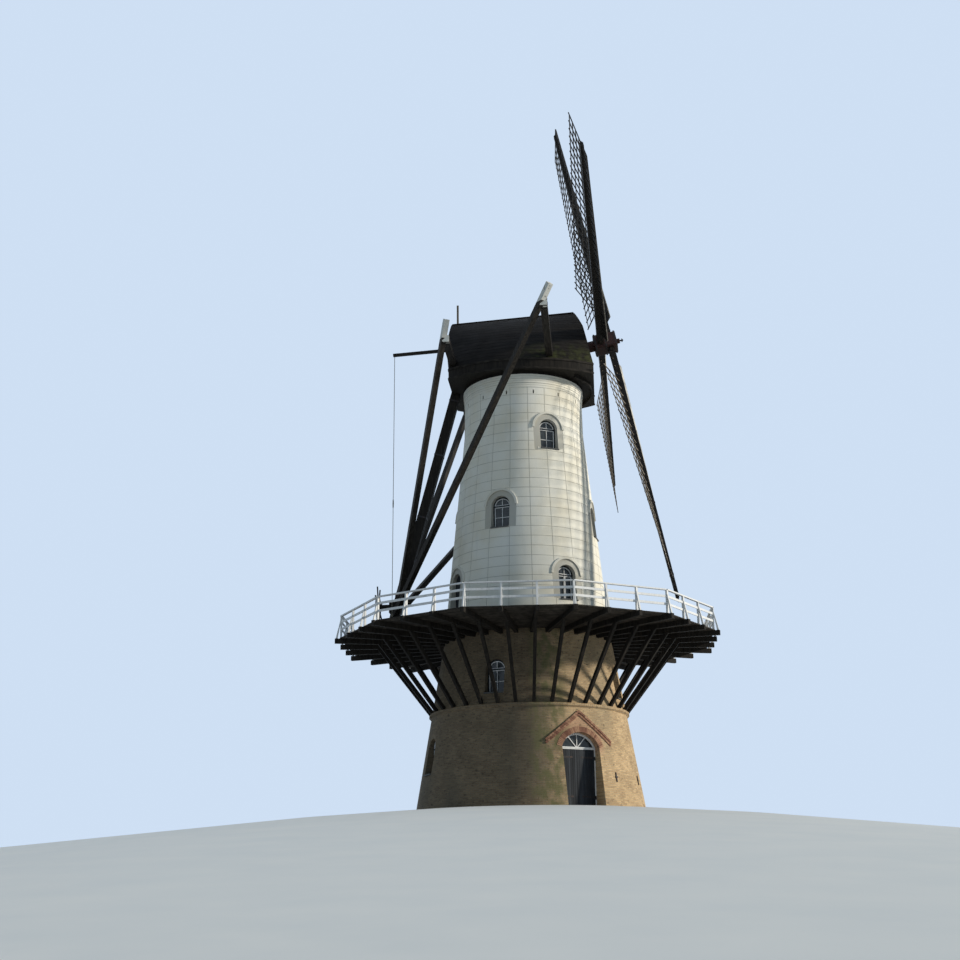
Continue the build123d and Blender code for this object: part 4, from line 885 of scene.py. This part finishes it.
def leaf_boards(side):
    bm = new_shape()
    place = wall_axes(DOOR_AZIMUTH, DOOR_FACE - LEAF_THICKNESS / 2, (LEAF_FOOT + LEAF_HEAD) / 2)
    pitch = (LEAF_OUTER - LEAF_INNER) / LEAF_BOARDS
    size = (pitch - BOARD_JOINT, LEAF_HEAD - LEAF_FOOT, LEAF_THICKNESS)
    for board in range(LEAF_BOARDS):
        add_block(bm, place, size, (side * (LEAF_INNER + pitch * (board + 0.5)), 0, 0))
    upright = [edge for edge in bm.edges if abs(edge.verts[0].co.z - edge.verts[1].co.z) > UPRIGHT_LEAST]
    bmesh.ops.bevel(bm, geom=upright, offset=BOARD_CHAMFER, affect="EDGES", segments=1, profile=0.5,
                    material=-1)
    return bm


def leaf_irons(name):
    bm = new_shape()
    bm.from_mesh(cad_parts[name].data)
    bmesh.ops.remove_doubles(bm, verts=bm.verts, dist=MERGE_DISTANCE)
    bmesh.ops.bisect_plane(bm, geom=[*bm.verts, *bm.edges, *bm.faces], plane_co=DOOR_OUT * IRON_FACE,
                           plane_no=DOOR_OUT, dist=CUT_DISTANCE, clear_inner=True)
    bmesh.ops.holes_fill(bm, edges=[edge for edge in bm.edges if edge.is_boundary])
    for face in bm.faces:
        face.smooth = False
    return bm


for side, name in ((-1, "left"), (1, "right")):
    node, body = f"door_leaf_{name}", f"door_{name}"
    boards = add_piece(f"door_boards_{name}", leaf_boards(side), DOOR_PAINT, body)
    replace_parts(boards, node)
    add_piece(f"door_irons_{name}", leaf_irons(node), IRON, body)

# %% [markdown]
# ## The fanlight
# Over the leaves is a fanlight with a white rim and foot, an upright and two slanting bars.
# Its rim is part of a circle, whose radius follows from the fanlight's width and rise.

# %% Fanlight bars
LIGHT_FOOT, LIGHT_HEAD = 2.41, 2.98
LIGHT_HALF, LIGHT_RISE = 0.825, 0.55
LIGHT_BAR, LIGHT_DEPTH = 0.04, 0.045
LIGHT_BACK = 0.0155
RAY_TURN = math.radians(42)
RAY_LENGTH = LIGHT_HALF * 0.86
RAY_WIDTH, RAY_DEPTH = LIGHT_BAR * 0.7, LIGHT_DEPTH * 0.8

fanlight = new_shape()
light_radius = (LIGHT_HALF ** 2 + LIGHT_RISE ** 2) / (2 * LIGHT_RISE)
light_turn = math.asin(LIGHT_HALF / light_radius)
centre = LIGHT_HEAD - LIGHT_FOOT - light_radius
place = wall_axes(DOOR_AZIMUTH, DOOR_FACE - LIGHT_BACK, LIGHT_FOOT)
add_arc(fanlight, place, (0, centre, 0), light_radius - LIGHT_BAR / 2, LIGHT_BAR, LIGHT_DEPTH,
        math.pi / 2 - light_turn, math.pi / 2 + light_turn)
add_block(fanlight, place, (2 * LIGHT_HALF, LIGHT_BAR, LIGHT_DEPTH), (0, LIGHT_BAR / 2, LIGHT_DEPTH / 2))
for turn, reach in ((-RAY_TURN, RAY_LENGTH), (0, light_radius + centre), (RAY_TURN, RAY_LENGTH)):
    ray = place @ Matrix.Rotation(turn, 4, "Z")
    add_block(fanlight, ray, (RAY_WIDTH, reach, RAY_DEPTH), (0, reach / 2, LIGHT_DEPTH / 2))
add_piece("fanlight_bars", fanlight, WHITE_PAINT, "tower")

# %% [markdown]
# ## Bricks laid one by one
# Where bricks turn out of their plain courses they show as single bricks: the arch over the
# main door, the two slanting courses of its gable and the row on edge along the ledge. Each is
# a block set on the leaning wall by its distance along the wall and its height, a little
# proud of the wall behind, and tones make neighbours differ. The gable's own solid is
# replaced by its bricks.

# %% Arch, gable and ledge bricks
ARCH_RADIUS, ARCH_CENTRE, ARCH_TURN = 0.938, 2.092, math.radians(68.9)
ARCH_BRICKS = 36
ARCH_BRICK_LENGTH, ARCH_BRICK_WIDTH = 0.225, 0.058
ARCH_JOINT = 0.006
BRICK_DEPTH, BRICK_PROUD = 0.11, 0.012
GABLE_HALF, GABLE_FOOT, GABLE_APEX = 1.53, 2.74, 3.96
GABLE_COURSE, GABLE_JOINT = 0.095, 0.008
GABLE_OUTS, GABLE_SUNK = (0.075, 0.045), 0.04
GABLE_BRICK = 0.112
LEDGE_LEVEL, LEDGE_HEIGHT, LEDGE_OUT = 4.23, 0.10, 0.12
LEDGE_BRICKS, LEDGE_BRICK_DEPTH = 250, 0.03
LEDGE_JOINT, LEDGE_BED = 0.011, 0.004
LEDGE_PROUD = (0.003, 0.008)

arch = new_shape()
arch_middle = ARCH_RADIUS + ARCH_BRICK_LENGTH / 2 + ARCH_JOINT
for step in range(ARCH_BRICKS + 1):
    turn = ARCH_TURN * (2 * step / ARCH_BRICKS - 1)
    aside, level = arch_middle * math.sin(turn), ARCH_CENTRE + arch_middle * math.cos(turn)
    place = on_wall(DOOR_AZIMUTH, aside, level, BRICK_PROUD) @ Matrix.Rotation(-turn, 4, "Z")
    size = (ARCH_BRICK_WIDTH, ARCH_BRICK_LENGTH, BRICK_DEPTH)
    add_block(arch, place, size, (0, 0, -BRICK_DEPTH / 2))
add_piece("arch_bricks", arch, RED_BRICK, "tower")

gable = new_shape()
gable_slope = math.atan2(GABLE_APEX - GABLE_FOOT, GABLE_HALF)
gable_length = math.hypot(GABLE_HALF, GABLE_APEX - GABLE_FOOT)
gable_count = round(gable_length / GABLE_BRICK)
for course, out in enumerate(GABLE_OUTS):
    depth = out + GABLE_SUNK
    drop = GABLE_COURSE * (course + 0.5) / math.cos(gable_slope)
    for side in (-1, 1):
        for step in range(gable_count):
            run = gable_length * (step + 0.5) / gable_count
            aside = side * run * math.cos(gable_slope)
            level = GABLE_APEX - drop - run * math.sin(gable_slope)
            place = on_wall(DOOR_AZIMUTH, aside, level, out) @ Matrix.Rotation(-side * gable_slope, 4, "Z")
            size = (gable_length / gable_count - GABLE_JOINT, GABLE_COURSE - GABLE_JOINT, depth)
            add_block(gable, place, size, (0, 0, -depth / 2))
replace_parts(add_piece("gable_bricks", gable, RED_BRICK, "tower"), "door_gable")

ledge = new_shape()
ledge_radius = wall_radius(LEDGE_LEVEL) + LEDGE_OUT
width = 2 * math.pi * ledge_radius / LEDGE_BRICKS - LEDGE_JOINT
for step in range(LEDGE_BRICKS):
    place = wall_axes(360 / LEDGE_BRICKS * step, ledge_radius, LEDGE_LEVEL - LEDGE_HEIGHT / 2)
    size = (width, LEDGE_HEIGHT - LEDGE_BED, LEDGE_BRICK_DEPTH)
    add_block(ledge, place, size, (0, 0, rng.uniform(*LEDGE_PROUD) - LEDGE_BRICK_DEPTH / 2))
add_piece("ledge_bricks", ledge, YELLOW_BRICK, "tower")

# %% [markdown]
# ## Wall anchors
# Floor beams are tied to the brick wall by iron bars that show outside as short dark
# uprights. Each is a bar with a small plate at its middle, lying on the leaning wall.

# %% Wall anchors
ANCHOR_TURNS = (20, 44, 200, 224)
ANCHOR_LEVEL = 1.25
ANCHOR_SIZES = ((0.05, 0.40, 0.035), (0.10, 0.07, 0.045))

anchors = new_shape()
for turn in ANCHOR_TURNS:
    place = on_wall(DOOR_AZIMUTH + turn, 0, ANCHOR_LEVEL)
    for size in ANCHOR_SIZES:
        add_block(anchors, place, size, (0, 0, size[2] / 2))
add_piece("wall_anchors", anchors, IRON, "tower")

# %% [markdown]
# ## Tools to slice a surface
# Plaster blocks, deck planks and the cap's boards are all cut from the model's surface: its
# faces are copied and merged, sliced by planes, the narrow strips between the slices are
# thrown away, and what stays is raised into plates. So each plate follows the true surface,
# and the piece under it shows at the bottom of each groove.

# %% Helpers for slicing
WALL_FACING, DECK_FACING = 0.7, 0.9
ROOF_FACING, END_FACING = 0.5, 0.6


def drop_faces(bm, test):
    bmesh.ops.delete(bm, geom=[face for face in bm.faces if test(face)], context="FACES")


def copied_faces(nodes, keep):
    """A merged copy of some pieces' meshes with only the faces that the test keeps."""
    bm = bmesh.new()
    for node in nodes:
        bm.from_mesh(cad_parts[node].data)
    bmesh.ops.remove_doubles(bm, verts=bm.verts, dist=MERGE_DISTANCE)
    drop_faces(bm, lambda face: not keep(face))
    for face in bm.faces:
        face.smooth = False
    if "tone" not in bm.faces.layers.float:
        bm.faces.layers.float.new("tone")
    return bm


def cut(bm, point, normal, near=None):
    """Cuts all faces, or only those that pass the test, along a plane."""
    faces = [face for face in bm.faces if near is None or near(face)]
    geometry = dict.fromkeys(faces)
    for face in faces:
        geometry.update(dict.fromkeys(face.edges))
        geometry.update(dict.fromkeys(face.verts))
    bmesh.ops.bisect_plane(bm, geom=list(geometry), plane_co=point, plane_no=normal, dist=CUT_DISTANCE)


def cut_strip(bm, point, normal, width, near=None):
    for side in (-1, 1):
        cut(bm, point + normal * side * width / 2, normal, near)


def cut_grooves(bm, planes, width):
    """Cuts a strip along each plane, given as a point and a normal, and throws the strips away."""
    for point, normal in planes:
        cut_strip(bm, point, normal, width)

    def in_groove(face):
        middle = face.calc_center_median()
        return any(abs((middle - point).dot(normal)) < width / 2 for point, normal in planes)

    drop_faces(bm, in_groove)


def level_planes(foot, top, pitch):
    """Level planes at a pitch, from a foot up to just below a top."""
    return [(UP * (foot + pitch * step), UP) for step in range(math.ceil((top - foot) / pitch))]


def outward(point):
    return Vector((point.x, point.y, 0)).normalized()


def faces_out(face):
    return face.normal.dot(outward(face.calc_center_median())) > WALL_FACING


def island_tones(bm):
    """One random tone for each loose plate, in the mesh's own order, so each run is the same."""
    done = set()
    for start in bm.faces:
        if start in done:
            continue
        group = [start]
        done.add(start)
        for face in group:
            for other in [other for edge in face.edges for other in edge.link_faces]:
                if other not in done:
                    done.add(other)
                    group.append(other)
        give_tone(bm, group)


def add_plates(name, bm, rise, direction, material, body):
    """Turns loose sheets into plates: a copy moves out, and the back stays where it was."""
    island_tones(bm)
    raised = bmesh.ops.extrude_face_region(bm, geom=list(bm.faces), use_keep_orig=True)
    for vert in [item for item in raised["geom"] if isinstance(item, bmesh.types.BMVert)]:
        vert.co += direction(vert.co) * rise
    bmesh.ops.recalc_face_normals(bm, faces=bm.faces)
    return add_piece(name, bm, material, body)


# %% [markdown]
# ## Plaster blocks
# The plaster is lined out with a grid of grooves, closer together on the collar. Within each
# hood the plaster is plain, so the blocks end at an arched outline round each opening. That
# outline is cut first: two uprights, and the sides of a polygon for the arch.

# %% Cut the hoods' outlines
HOOD_INNER = 0.30
HOOD_MARGIN, HOOD_SIDE_MARGIN = 0.1, 0.05
ARCH_SIDES = 14

FIELDS = [(DOOR_AZIMUTH + turn, WINDOW_WIDTH / 2, sill, head)
          for turn, sill, head, _ in WINDOWS if sill > STAGE_LEVEL]
FIELDS += [(DOOR_AZIMUTH + turn, STAGE_DOOR_WIDTH / 2, STAGE_LEVEL, STAGE_DOOR_HEAD)
           for turn in STAGE_DOOR_TURNS]


def cut_hood(bm, azimuth, half, sill, head):
    """Cuts the outline of one opening's plain field into the faces round it."""
    spring, radius = head - half, half + HOOD_INNER
    out = heading(azimuth)
    along = UP.cross(out)
    low, high = sill - HOOD_MARGIN, spring + radius + HOOD_MARGIN

    def near(face):
        middle = face.calc_center_median()
        reach = max(abs((vert.co - middle).dot(along)) for vert in face.verts)
        levels = [vert.co.z for vert in face.verts]
        spans = min(levels) < high and max(levels) > low
        beside = abs(middle.dot(along)) - reach < radius + HOOD_SIDE_MARGIN
        return middle.dot(out) > 0 and beside and spans

    cut(bm, UP * spring, UP, near)
    for side in (-1, 1):
        cut(bm, along * side * radius, along, near)
    for step in range(ARCH_SIDES):
        turn = math.pi * (step + 0.5) / ARCH_SIDES
        normal = along * math.cos(turn) + UP * math.sin(turn)
        cut(bm, UP * spring + normal * radius * math.cos(math.pi / 2 / ARCH_SIDES), normal,
            lambda face: near(face) and face.calc_center_median().z > spring)


def in_hood(point, azimuth, half, sill, head):
    """Whether a point on the wall lies in the plain field of an opening."""
    out = heading(azimuth)
    aside, over, reach = point.dot(UP.cross(out)), point.z - (head - half), half + HOOD_INNER
    if point.dot(out) < 0:
        return False
    if over < 0:
        return abs(aside) < reach and point.z > sill
    return math.hypot(aside, over) < reach


def plaster_between(low, high):
    """A copy of the plaster's outer faces between two heights."""
    nodes = [f"plaster_wall_{side}" for side in TOWER_SIDES]
    return copied_faces(nodes, lambda face: faces_out(face) and low < face.calc_center_median().z < high)


blocks = plaster_between(STAGE_LEVEL, COLLAR_FOOT)
for field in FIELDS:
    cut_hood(blocks, *field)
print("faces round the hoods:", len(blocks.faces))

# %% [markdown]
# With the outlines in place, the level and upright grooves are cut right across, the plain
# fields are dropped, and the blocks are raised. The collar has level grooves only.

# %% Cut and raise the blocks
COURSE_HEIGHT = 0.452
COURSE_FOOT, COURSE_TOP = 7.56, COLLAR_FOOT - 0.1
UPRIGHT_COUNT = 22
UPRIGHT_START = -50
GROOVE_WIDTH = 0.024
BLOCK_RISE = 0.009
COLLAR_COURSES = 6

planes = level_planes(COURSE_FOOT, COURSE_TOP, COURSE_HEIGHT)
for index in range(UPRIGHT_COUNT // 2):
    planes.append((Vector(), UP.cross(heading(UPRIGHT_START + 360 / UPRIGHT_COUNT * index))))
cut_grooves(blocks, planes, GROOVE_WIDTH)
drop_faces(blocks, lambda face: any(in_hood(face.calc_center_median(), *field) for field in FIELDS))
add_plates("plaster_blocks", blocks, BLOCK_RISE, outward, PLASTER, "tower")

collar = plaster_between(COLLAR_FOOT, TOWER_TOP)
collar_pitch = (TOWER_TOP - COLLAR_FOOT) / COLLAR_COURSES
collar_planes = [(UP * (COLLAR_FOOT + collar_pitch * step), UP) for step in range(1, COLLAR_COURSES)]
cut_grooves(collar, collar_planes, GROOVE_WIDTH / 2)
add_plates("collar_courses", collar, BLOCK_RISE, outward, PLASTER, "tower")

# %% [markdown]
# ## The stage's planks
# The stage is floored with planks along each of its twelve sides, with gaps for the rain. In
# each side the rows are butted in turn a little left and a little right of its middle. The
# planks are cut from the deck's underside and raised by the deck's thickness, so they replace
# it.

# %% Deck planks
STAGE_SIDES = 12
DECK_THICKNESS = 0.04
DECK_INNER, DECK_OUTER = 3.4, 8.162
PLANK_PITCH, PLANK_GAP = 0.207, 0.016
PLANK_ROWS = int((DECK_OUTER - DECK_INNER) / PLANK_PITCH)
BUTT_TURN = 5
SIDE_REACH = math.cos(math.radians(180 / STAGE_SIDES + 1))

planks = copied_faces(["stage_deck"], lambda face: face.normal.z < -DECK_FACING)
for side in range(STAGE_SIDES):
    azimuth = DOOR_AZIMUTH + 360 / STAGE_SIDES * side
    out = heading(azimuth)

    def on_side(face):
        return outward(face.calc_center_median()).dot(out) > SIDE_REACH

    def rows_in(face):
        """How many rows the face lies in from the stage's edge."""
        return (DECK_OUTER - face.calc_center_median().dot(out)) / PLANK_PITCH

    def in_gap(face):
        row = round(rows_in(face))
        return on_side(face) and row > 0 and abs(rows_in(face) - row) * PLANK_PITCH < PLANK_GAP / 2

    for row in range(1, PLANK_ROWS + 1):
        cut_strip(planks, out * (DECK_OUTER - PLANK_PITCH * row), out, PLANK_GAP, on_side)
    drop_faces(planks, in_gap)
    for turn, odd in ((-BUTT_TURN, 0), (BUTT_TURN, 1)):
        across = UP.cross(heading(azimuth + turn))

        def in_row(face):
            return on_side(face) and int(rows_in(face)) % 2 == odd

        def in_butt(face):
            return in_row(face) and abs(face.calc_center_median().dot(across)) < PLANK_GAP / 4

        cut_strip(planks, Vector(), across, PLANK_GAP / 2, in_row)
        drop_faces(planks, in_butt)
deck = add_plates("deck_planks", planks, DECK_THICKNESS, lambda point: UP, STAGE_BOARDS, "tower")
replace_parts(deck, "stage_deck")

# %% [markdown]
# ## Boards on the cap
# The cap is clad in tarred boards that run along it, and its two ends in upright boards. All
# are cut from the cap's own outer surface. Two narrow boards trim the eaves, where they catch
# the light.

# %% Cap boards
CAP_BOARD_PITCH, CAP_BOARD_GAP, CAP_BOARD_RISE = 0.21, 0.012, 0.012
END_BOARD_PITCH, END_BOARD_RISE = 0.2, 0.008
END_BOARD_STEPS = range(-15, 16)
EAVE_LEVEL, RIDGE_LEVEL = 20.05, 23.6
ROOF_MIDDLE = EAVE_LEVEL - 0.4
EAVE_TRIMS = ((19.515, 19.60), (19.95, 20.05))
TRIM_RISE = 0.03


def roof_direction(point):
    """Out from the cap's own long middle line."""
    return Vector((point.x, 0, point.z - ROOF_MIDDLE)).normalized()


def roof_faces(face):
    upward = face.normal.dot(roof_direction(face.calc_center_median()))
    return abs(face.normal.y) < END_FACING and upward > ROOF_FACING


def in_trims(face):
    return any(low < face.calc_center_median().z < high for low, high in EAVE_TRIMS)


roof = copied_faces(["cap_roof_left", "cap_roof_right"], roof_faces)
cut_grooves(roof, level_planes(EAVE_LEVEL + CAP_BOARD_PITCH, RIDGE_LEVEL, CAP_BOARD_PITCH), CAP_BOARD_GAP)
add_plates("cap_boards", roof, CAP_BOARD_RISE, roof_direction, TARRED_CAP, "cap")

end_planes = [(Vector((END_BOARD_PITCH * step, 0, 0)), Vector((1, 0, 0))) for step in END_BOARD_STEPS]
for end, facing in (("front", Vector((0, -1, 0))), ("rear", Vector((0, 1, 0)))):
    sheet = copied_faces([f"cap_{end}_wall"], lambda face: face.normal.dot(facing) > END_FACING)
    cut_grooves(sheet, end_planes, CAP_BOARD_GAP)
    add_plates(f"cap_{end}_boards", sheet, END_BOARD_RISE, lambda point: facing, TARRED_CAP, "cap")

eaves = copied_faces(["cap_skirt"], lambda face: faces_out(face) and face.normal.y > -WALL_FACING)
for level in [level for trim in EAVE_TRIMS for level in trim]:
    cut(eaves, UP * level, UP)
drop_faces(eaves, lambda face: not in_trims(face))
add_plates("eave_trims", eaves, TRIM_RISE, outward, STAGE_BOARDS, "cap")

# %% [markdown]
# ## The ridge
# A flat board lies along the cap's ridge, which falls towards the rear. It is set down a
# little into the boards, so that no gap shows under it.

# %% Ridge board
RIDGE_REAR, RIDGE_FRONT = Vector((0, 3.36, 23.18)), Vector((0, -2.52, 23.53))
RIDGE_WIDTH, RIDGE_THICKNESS, RIDGE_SET_DOWN = 0.24, 0.035, 0.02
SIDEWAYS = Vector((1, 0, 0))

ridge = new_shape()
along = (RIDGE_FRONT - RIDGE_REAR).normalized()
place = axes_at((RIDGE_FRONT + RIDGE_REAR) / 2, SIDEWAYS, along.cross(SIDEWAYS), along)
size = (RIDGE_WIDTH, RIDGE_THICKNESS, (RIDGE_FRONT - RIDGE_REAR).length)
add_block(ridge, place, size, (0, -RIDGE_SET_DOWN, 0))
add_piece("ridge_board", ridge, TARRED_TIMBER, "cap")

# %% [markdown]
# ## Irons on the tail and the spruits
# The heavy timbers are bound with iron: bands round the tail beam and near the spruits' ends.
# A band is four flat bars round the timber.

# %% Bands
SPRUIT_SIZE, SPRUIT_LEVEL = 0.30, 20.29
SPRUITS = ((-1.40, 8.60), (3.11, 5.15))
SPRUIT_BAND_INSETS = (0.10, 0.50)
BAND_HEIGHT, BAND_THICKNESS = 0.07, 0.012
TAIL_WIDTH, TAIL_DEPTH = 0.40, 0.42
TAIL_TOP_BACK, TAIL_SLOPE = 3.0, 0.265
TAIL_BANDS = (8.35, 9.75, 10.6, 13.5, 16.5, 19.2)


def tail_place(level):
    """Axes at a height on the tail beam's middle line, with z along the beam."""
    back = TAIL_TOP_BACK + TAIL_SLOPE * (SPRUIT_LEVEL - level)
    along = Vector((0, -TAIL_SLOPE, 1)).normalized()
    return axes_at(Vector((0, back, level)), SIDEWAYS, along.cross(SIDEWAYS), along)


tail_irons = new_shape()
for level in TAIL_BANDS:
    add_band(tail_irons, tail_place(level), TAIL_WIDTH, TAIL_DEPTH)
for back, half in SPRUITS:
    for side in (-1, 1):
        for inset in SPRUIT_BAND_INSETS:
            origin = Vector((side * (half - inset), back, SPRUIT_LEVEL))
            place = axes_at(origin, Vector((0, 1, 0)), UP, SIDEWAYS)
            add_band(tail_irons, place, SPRUIT_SIZE, SPRUIT_SIZE)
add_piece("tail_irons", tail_irons, IRON, "cap")

# %% [markdown]
# ## Irons and wedges on the sails
# The iron poll end holds the two stocks with wedges, and has a pin at its nose. Each stock
# has iron bands, and a wooden wedge holds every bar where it comes out of the stock. They are
# all set in the axes of one sail: out along the stock, across to its leading edge, and
# forward.

# %% Sail irons and wedges
HUB = Vector((0, -3.99, 21.85))
REST_TURN = 77.4
SAIL_RADIUS = 13.69
STOCK_OFFSETS = (0.225, -0.225)
STOCK_WIDTHS, STOCK_THICKNESSES = (0.34, 0.20), (0.30, 0.15)
LATTICE_HEEL, LATTICE_TIP_INSET, BAR_SPACING = 2.35, 0.06, 0.43
HEEL_WEATHER, TIP_WEATHER = math.tan(math.radians(21)), math.tan(math.radians(5))
STOCK_BANDS = (0.62, 2.0, 5.2, 9.0, 12.6)
WEDGE_SIZE, WEDGE_ASIDE = (0.07, 0.03, 0.075), 0.02
POLL_WEDGE, POLL_WEDGE_OUT, POLL_WEDGE_GAP = (0.30, 0.05, 0.14), 0.06, 0.03
POLL_SIZE, POLL_LENGTH = 0.76, 1.08
POLL_BAND_PLACES = (-0.48, 0.0, 0.48)
PIN_RADIUS, PIN_LENGTH, PIN_PLACE = 0.035, 0.34, 0.16
TOGGLE_SIZE, TOGGLE_PLACE = (0.05, 0.22, 0.05), 0.27


def sail_axes(index, offset):
    """Axes of one sail: x out along its stock, y to the leading edge, z forward."""
    level_y = SHAFT_OUT.cross(SIDEWAYS)
    turn = math.radians(REST_TURN + 90 * index)
    out = SIDEWAYS * math.cos(turn) + level_y * math.sin(turn)
    return axes_at(HUB + SHAFT_OUT * offset, out, SHAFT_OUT.cross(out), SHAFT_OUT)


def between(ends, share):
    return ends[0] + (ends[1] - ends[0]) * share


sail_irons, wedges = new_shape(), new_shape()
lattice_length = SAIL_RADIUS - LATTICE_TIP_INSET - LATTICE_HEEL
bar_count = round(lattice_length / BAR_SPACING)
for index in range(4):
    axes = sail_axes(index, STOCK_OFFSETS[index % 2])
    for reach in STOCK_BANDS:
        share = reach / SAIL_RADIUS
        band = axes @ Matrix.Translation((reach, 0, 0)) @ Matrix.Rotation(math.pi / 2, 4, "Y")
        add_band(sail_irons, band, between(STOCK_THICKNESSES, share), between(STOCK_WIDTHS, share))
    for step in range(bar_count + 1):
        reach = LATTICE_HEEL + lattice_length * step / bar_count
        slope = between((HEEL_WEATHER, TIP_WEATHER), (reach - LATTICE_HEEL) / (SAIL_RADIUS - LATTICE_HEEL))
        half = (between(STOCK_WIDTHS, reach / SAIL_RADIUS) + WEDGE_SIZE[1]) / 2
        for across in (-half, half):
            middle = (reach + WEDGE_SIZE[0] / 2 + WEDGE_ASIDE, across, across * slope)
            add_block(wedges, axes, WEDGE_SIZE, middle)
    for side in (-1, 1):
        across = side * (STOCK_WIDTHS[0] / 2 + POLL_WEDGE_GAP)
        add_block(wedges, axes, POLL_WEDGE, (POLL_SIZE / 2 + POLL_WEDGE_OUT, across, 0))
nose = sail_axes(0, 0)
for forward in POLL_BAND_PLACES:
    add_band(sail_irons, nose @ Matrix.Translation((0, 0, forward)), POLL_SIZE, POLL_SIZE)
add_pin(sail_irons, nose, PIN_RADIUS, PIN_LENGTH, (0, 0, POLL_LENGTH / 2 + PIN_PLACE))
add_block(sail_irons, nose, TOGGLE_SIZE, (0, 0, POLL_LENGTH / 2 + TOGGLE_PLACE))
add_piece("sail_irons", sail_irons, IRON, "sails")
add_piece("sail_wedges", wedges, LATTICE_TIMBER, "sails")
